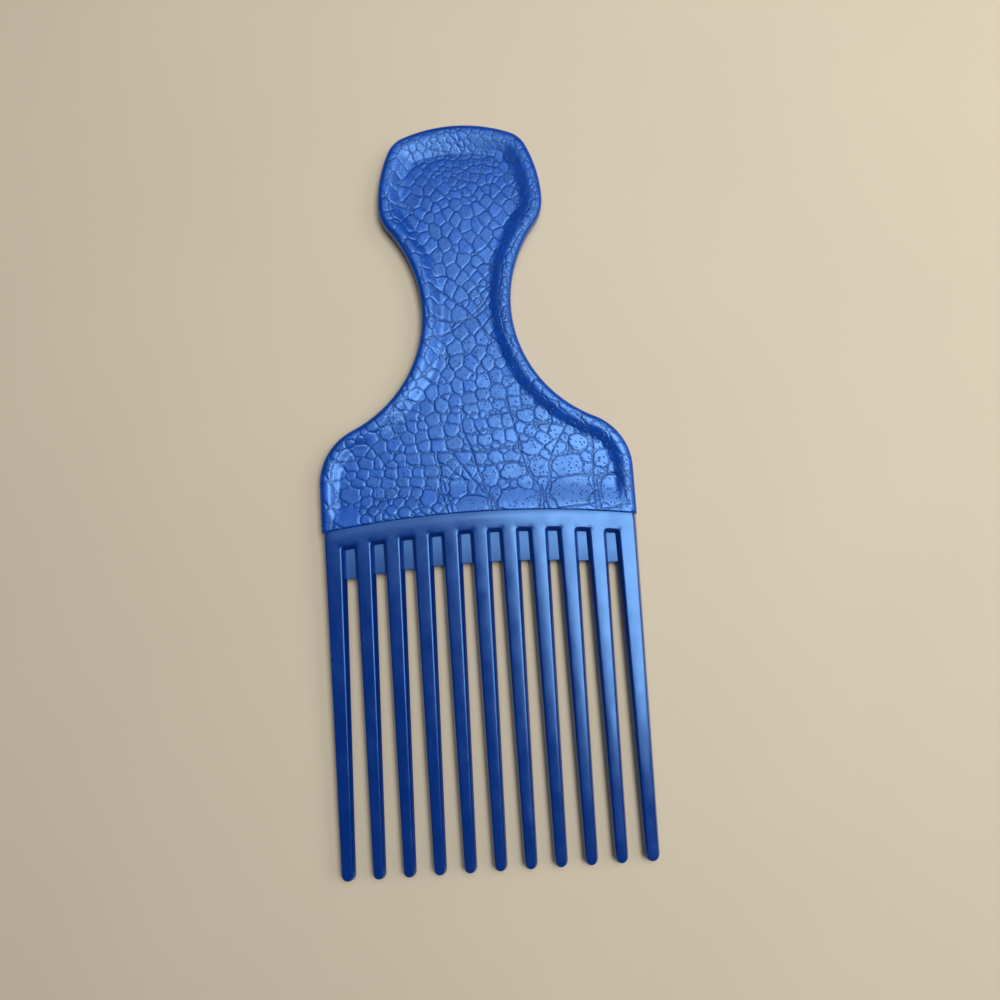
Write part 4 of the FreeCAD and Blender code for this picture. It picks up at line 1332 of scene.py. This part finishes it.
class Paint(NodeMaker):
    """Builds a procedural material"""

    def __init__(self, name):
        self.material = bpy.data.materials.new(name)
        self.material.use_nodes = True
        super().__init__(self.material.node_tree)
        self.shader = self.tree.nodes["Principled BSDF"]
        self.place = self.tree.nodes.new("ShaderNodeTexCoord").outputs["Object"]

    def noise(self, size, detail=3.0, stretch=(1.0, 1.0, 1.0)):
        """Return noise whose waves are about the given size in millimetres."""
        stretched = self.node("ShaderNodeMapping", {"Vector": self.place, "Scale": stretch}).outputs[0]
        return self.node(
            "ShaderNodeTexNoise", {"Vector": stretched, "Scale": 1.0 / (size * MM), "Detail": detail}
        ).outputs["Fac"]

    def cells(self, feature, size, turn=0.0, stretch=1.0):
        """Return a flat pattern of random cells about the given size in millimetres."""
        waves = {"Vector": self.place, "Scale": 1.0 / (CELL_WAVE * MM)}
        wander = self.node("ShaderNodeTexNoise", waves).outputs["Color"]
        wander = self.node(
            "ShaderNodeVectorMath", {0: wander, 1: (0.5, 0.5, 0.5)}, operation="SUBTRACT"
        ).outputs[0]
        wander = self.node(
            "ShaderNodeVectorMath", {0: wander, "Scale": CELL_WANDER * MM}, operation="SCALE"
        ).outputs[0]
        moved = self.node("ShaderNodeVectorMath", {0: self.place, 1: wander}, operation="ADD").outputs[0]
        turned = self.node("ShaderNodeMapping", {"Vector": moved, "Rotation": (0.0, 0.0, turn)}).outputs[0]
        drawn = self.node("ShaderNodeMapping", {"Vector": turned, "Scale": (1.0, stretch, 1.0)}).outputs[0]
        return self.node(
            "ShaderNodeTexVoronoi",
            {"Vector": drawn, "Scale": 1.0 / (size * MM)},
            voronoi_dimensions="2D",
            feature=feature,
        )

    def attribute(self, name):
        """Return one of the piece's own painted values."""
        return self.node("ShaderNodeAttribute", attribute_name=name).outputs["Fac"]

    def span(self, value, low, high, to_low, to_high):
        """Return a value moved from one span to another."""
        return self.node(
            "ShaderNodeMapRange",
            {"Value": value, "From Min": low, "From Max": high, "To Min": to_low, "To Max": to_high},
        ).outputs[0]

    def blend(self, share_of, first, second):
        """Return a blend of two colours."""
        inputs = {"Factor": share_of, MIX_FIRST: first, MIX_SECOND: second}
        return self.node("ShaderNodeMix", inputs, data_type="RGBA").outputs[MIX_RESULT]

    def bump(self, height, distance, strength, normal=None):
        """Return a surface normal roughened by a height in millimetres."""
        inputs = {"Height": height, "Distance": distance * MM, "Strength": strength}
        if normal is not None:
            inputs["Normal"] = normal
        return self.node("ShaderNodeBump", inputs).outputs[0]

    def use(self, socket, source):
        """Join a source to the shader."""
        self.tree.links.new(source, self.shader.inputs[socket])

    def patchy(self, size, rough, worn_or_shaded):
        """Make the shader a little smoother and rougher in patches, and rougher where a mask is set: worn
        places on the comb, painted groove shade on the handle.
        """
        patches = self.span(self.noise(size), *PATCHY_SPAN, rough + SMOOTHER, rough + ROUGHER)
        self.use("Roughness", self.math("ADD", patches, self.math("MULTIPLY", worn_or_shaded, WORN_OR_SHADED_ROUGHER)))

    def finish(self, sheen):
        """Set the plain values of the shader and return the material."""
        for socket, setting in sheen.items():
            self.shader.inputs[socket].default_value = setting
        return self.material


def tinted(colour_of, factor=1.0):
    """Return a colour made lighter or darker, as a solid colour."""
    return (*(min(1.0, part * factor) for part in colour_of), 1.0)


def grained_plastic(colours):
    """Satin blue plastic with painted shade in its grooves, cracks and pores, and a slightly different tone
    on each scale.
    """
    paint = Paint("grained_plastic")
    groove, tone, crinkle, pored = (
        paint.attribute(name) for name in ("groove", "tone", "crinkle", "pored")
    )
    blue = colours.grained_blue
    scale = paint.blend(tone, *(tinted(blue, factor) for factor in SCALE_TONES))
    cloud = paint.span(paint.noise(GRAINED_CLOUD), *CLOUD_SPAN, 0.0, GRAINED_CLOUD_SHARE)
    clouded = paint.blend(cloud, scale, tinted(blue, GRAINED_CLOUD_TONE))
    crackle = paint.cells("DISTANCE_TO_EDGE", CRACK_SIZE).outputs["Distance"]
    crack = paint.math("MULTIPLY", paint.span(crackle, 0.0, CRACK_WIDTH, 1.0, 0.0), crinkle)
    pits = paint.cells("F1", PORE_SIZE, PORE_TURN, PORE_STRETCH)
    chance = paint.node("ShaderNodeSeparateColor", {0: pits.outputs["Color"]}).outputs[0]
    chosen = paint.math("LESS_THAN", chance, paint.math("MULTIPLY", pored, PORE_CHANCE))
    pit = paint.span(pits.outputs["Distance"], PORE_CORE, PORE_RIM, 1.0, 0.0)
    pore = paint.math("MULTIPLY", paint.math("MULTIPLY", pit, chosen), PORE_SHARE)
    # Painted shade: grooves, cracks and pores are blended towards the groove blue, as shade in these
    # hollows; the same mask makes them rougher.
    fine = paint.math("MAXIMUM", paint.math("MULTIPLY", crack, CRACK_SHARE), pore)
    painted_shade = paint.math("MAXIMUM", paint.math("MULTIPLY", groove, GROOVE_SHARE), fine)
    paint.use("Base Color", paint.blend(painted_shade, clouded, tinted(colours.groove_shade_blue)))
    paint.patchy(GRAINED_PATCHY, colours.grained_roughness, painted_shade)
    pitted = paint.bump(paint.math("SUBTRACT", 1.0, fine), PIT_DEPTH, PIT_STRENGTH)
    texture = paint.noise(GRAINED_TEXTURE)
    paint.use("Normal", paint.bump(texture, GRAINED_TEXTURE_DEPTH, GRAINED_TEXTURE_STRENGTH, pitted))
    return paint.finish(PLASTIC_SHEEN_SKY_TINT)


def smooth_plastic(name, blue, rough):
    """Semi gloss blue plastic with faint flow lines, scuffs and mould texture."""
    paint = Paint(name)
    cloud = paint.span(paint.noise(SMOOTH_CLOUD), *CLOUD_SPAN, 0.0, SMOOTH_CLOUD_SHARE)
    flowed = paint.blend(cloud, *(tinted(blue, factor) for factor in FLOW_TONES))
    rub = paint.span(paint.noise(RUB_SIZE, RUB_DETAIL, RUB_STRETCH), *RUB_SPAN, 0.0, RUB_SHARE)
    paint.use("Base Color", paint.blend(rub, flowed, tinted(blue, RUB_TONE)))
    paint.patchy(SMOOTH_PATCHY, rough, rub)
    waves = paint.bump(paint.noise(WAVE_SIZE, WAVE_DETAIL, WAVE_STRETCH), WAVE_DEPTH, WAVE_STRENGTH)
    texture = paint.noise(SMOOTH_TEXTURE)
    paint.use("Normal", paint.bump(texture, SMOOTH_TEXTURE_DEPTH, SMOOTH_TEXTURE_STRENGTH, waves))
    return paint.finish(PLASTIC_SHEEN_SKY_TINT)


def floor_paint(colour_of):
    """Plain pale matt floor."""
    paint = Paint("pale_floor")
    cloud = paint.span(paint.noise(FLOOR_CLOUD), *PATCHY_SPAN, 0.0, 1.0)
    paint.use("Base Color", paint.blend(cloud, *(tinted(colour_of, factor) for factor in FLOOR_TONES)))
    return paint.finish(FLOOR_SHEEN)


# Stage, in metres, with the sensor in millimetres. The camera repeats the view of the photograph.
FLOOR_HALF = 1.5
CAMERA_RIGHT = Vector((0.99793, -0.06431, -0.00040))
CAMERA_UP = Vector((0.06398, 0.99220, 0.10703))
CAMERA_PLACE = Vector((0.00402, -0.02399, 0.17833))
CAMERA_NEAR = 0.01
SENSOR_WIDTH = 36.0
WHITE = (1.0, 1.0, 1.0, 1.0)

# Softboxes hung level above the pick: centre, width and depth in metres, turn in degrees, brightness.
SOFTBOXES = (
    ("softbox_comb", 0.192, 0.018, 0.3, 0.38, 24.0, 8.3),
    ("softbox_handle", 0.13, 0.315, 0.3, 0.31, 6.0, 3.3),
    ("softbox_head", -0.12, 0.235, 0.17, 0.43, 6.0, 1.6),
    ("softbox_side", 0.9, 0.15, 0.8, 0.9, 0.0, 2.4),
)


# Operators. Corners are crisp near the bar, and webs run into the roots.

CRISP_BARS = 2.0
WEB_OVERLAP = 0.6


class PICK_OT_handle(bpy.types.Operator):
    """Build the grained front and back of the handle"""

    bl_idname = "pick.handle"
    bl_label = "Handle"

    def execute(self, context):
        settings = context.scene.pick_grain
        material = grained_plastic(context.scene.pick_colours)
        grain = make_grain(settings, HandleOutline(context.scene.pick_handle))
        quick = 1.0
        for name, spacing, mirrored in (
            ("handle_front", settings.front_spacing, False),
            ("handle_back", settings.back_spacing, True),
        ):
            piece = make_handle_face(context, grain, name, material, quick * spacing / MM, mirrored)
            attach(piece, "root")
            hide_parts("handle_rim", "handle_blade")
        return {"FINISHED"}


class PICK_OT_comb(bpy.types.Operator):
    """Build the bar and the teeth as one drafted moulding"""

    bl_idname = "pick.comb"
    bl_label = "Bar and teeth"

    def execute(self, context):
        comb, handle = context.scene.pick_comb, context.scene.pick_handle
        sizes = CombNumbers(comb, handle)
        colours = context.scene.pick_colours
        # The comb gets the darker copy of the blue, painted shade.
        material = smooth_plastic("smooth_plastic", colours.comb_shaded_blue, colours.smooth_roughness)
        piece = make_comb_plan(sizes, len(TOOTH_NODES))
        values = {
            "Root half thickness": comb.root_thickness / 2 - BOX_CLEARANCE * MM,
            "Tip half thickness": comb.tip_thickness / 2,
            "Root place": (SEAM_Y - sizes.bar / 2) * MM,
            "Tip place": (SEAM_Y - sizes.reach) * MM,
            "Crisp corners above": (SEAM_Y - CRISP_BARS * sizes.bar) * MM,
            "Rise of the drafted side": 1.0 / math.tan(comb.draft),
            "Top round": comb.top_round,
            "Seam round": comb.seam_round,
            "Seam drop": comb.seam_drop,
            "Crown width": comb.crown_width,
            "Crown drop": comb.crown_drop,
            "Material": material,
        }
        apply_tree(piece, raise_tree(), values)
        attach(piece, "root")
        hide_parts("comb_bar", *TOOTH_NODES)
        return {"FINISHED"}


class PICK_OT_webs(bpy.types.Operator):
    """Build the thin webs between the roots of the teeth"""

    bl_idname = "pick.webs"
    bl_label = "Root webs"

    def execute(self, context):
        comb, handle = context.scene.pick_comb, context.scene.pick_handle
        colours = context.scene.pick_colours
        # The webs get the lighter copy of the blue, painted light on the thin plastic.
        material = smooth_plastic("web_plastic", colours.web_lit_blue, colours.web_roughness)
        overlap = WEB_OVERLAP * MM
        tall = comb.web_length + overlap
        seam_radius = handle.seam_radius
        piece = bpy.data.objects.new("root_webs", bpy.data.meshes.new("root_webs"))
        context.scene.collection.objects.link(piece)
        values = {
            "Webs": len(WEB_NODES),
            "Pitch": comb.tooth_pitch,
            "Arc radius": seam_radius - comb.bar_height,
            "Arc centre": SEAM_Y * MM - seam_radius + overlap - tall / 2,
            "Web length": tall,
            "Web thickness": comb.web_thickness,
            "Web width": comb.tooth_pitch - comb.root_width + 2 * overlap,
            "Edge round": comb.web_edge,
            "Parting height": PARTING_Z * MM,
            "Material": material,
        }
        apply_tree(piece, web_tree(), values)
        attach(piece, "root")
        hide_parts(*WEB_NODES)
        return {"FINISHED"}


class PICK_OT_stage(bpy.types.Operator):
    """Set the pale floor, the soft light and the camera"""

    bl_idname = "pick.stage"
    bl_label = "Stage"

    def execute(self, context):
        scene, stage = context.scene, context.scene.pick_stage
        scene.view_settings.view_transform = "Standard"
        edge = FLOOR_HALF
        corners = [(-edge, -edge, 0.0), (edge, -edge, 0.0), (edge, edge, 0.0), (-edge, edge, 0.0)]
        mesh = bpy.data.meshes.new("floor")
        mesh.from_pydata(corners, [], [(0, 1, 2, 3)])
        mesh.materials.append(floor_paint(stage.floor_colour))
        floor = bpy.data.objects.new("floor", mesh)
        scene.collection.objects.link(floor)
        world = bpy.data.worlds.new("even_sky")
        world.use_nodes = True
        sky = world.node_tree.nodes["Background"]
        sky.inputs["Color"].default_value = WHITE
        sky.inputs["Strength"].default_value = stage.sky_strength
        scene.world = world
        for name, across, along, wide, deep, turn, brightness in SOFTBOXES:
            lamp = bpy.data.lights.new(name, "AREA")
            lamp.shape = "RECTANGLE"
            lamp.size, lamp.size_y = wide, deep
            lamp.energy = brightness * stage.softbox_brightness * math.pi * lamp.size * lamp.size_y
            softbox = bpy.data.objects.new(name, lamp)
            softbox.location = (across, along, stage.softbox_height)
            softbox.rotation_euler.z = math.radians(turn)
            scene.collection.objects.link(softbox)
        camera = bpy.data.objects.new("camera", bpy.data.cameras.new("camera"))
        camera.data.lens = stage.lens
        camera.data.sensor_width = SENSOR_WIDTH
        camera.data.clip_start = CAMERA_NEAR
        axes = Matrix((CAMERA_RIGHT, CAMERA_UP, CAMERA_RIGHT.cross(CAMERA_UP))).transposed()
        camera.matrix_world = Matrix.Translation(CAMERA_PLACE) @ axes.to_4x4()
        scene.collection.objects.link(camera)
        scene.camera = camera
        return {"FINISHED"}


class PICK_PT_panel(bpy.types.Panel):
    """Sizes, colours and build steps of the pick"""

    bl_label = "Afro Pick"
    bl_idname = "PICK_PT_panel"
    bl_space_type = "VIEW_3D"
    bl_region_type = "UI"
    bl_category = "Afro Pick"

    def draw(self, context):
        layout = self.layout
        for operator in OPERATORS:
            layout.operator(operator.bl_idname)
        for name in GROUPS:
            box = layout.box()
            group = getattr(context.scene, name)
            box.label(text=group.bl_rna.description)
            for prop in group.bl_rna.properties:
                if prop.identifier not in ("rna_type", "name"):
                    box.prop(group, prop.identifier)


OPERATORS = (PICK_OT_handle, PICK_OT_comb, PICK_OT_webs, PICK_OT_stage)
GROUPS = {
    "pick_handle": PickHandleSizes,
    "pick_grain": PickGrainSettings,
    "pick_comb": PickCombSizes,
    "pick_colours": PickColours,
    "pick_stage": PickStage,
}


def register():
    """Register the classes and hang the sizes on the scene."""
    for group in GROUPS.values():
        bpy.utils.register_class(group)
    for operator in OPERATORS:
        bpy.utils.register_class(operator)
    bpy.utils.register_class(PICK_PT_panel)
    for name, group in GROUPS.items():
        setattr(bpy.types.Scene, name, bpy.props.PointerProperty(type=group))


def unregister():
    """Take the sizes off the scene and unregister the classes."""
    for name in GROUPS:
        delattr(bpy.types.Scene, name)
    bpy.utils.unregister_class(PICK_PT_panel)
    for operator in reversed(OPERATORS):
        bpy.utils.unregister_class(operator)
    for group in reversed(GROUPS.values()):
        bpy.utils.unregister_class(group)


def main():
    """Build the pick and its stage."""
    register()
    bpy.ops.pick.handle()
    bpy.ops.pick.comb()
    bpy.ops.pick.webs()
    bpy.ops.pick.stage()


if __name__ == "__main__":
    main()
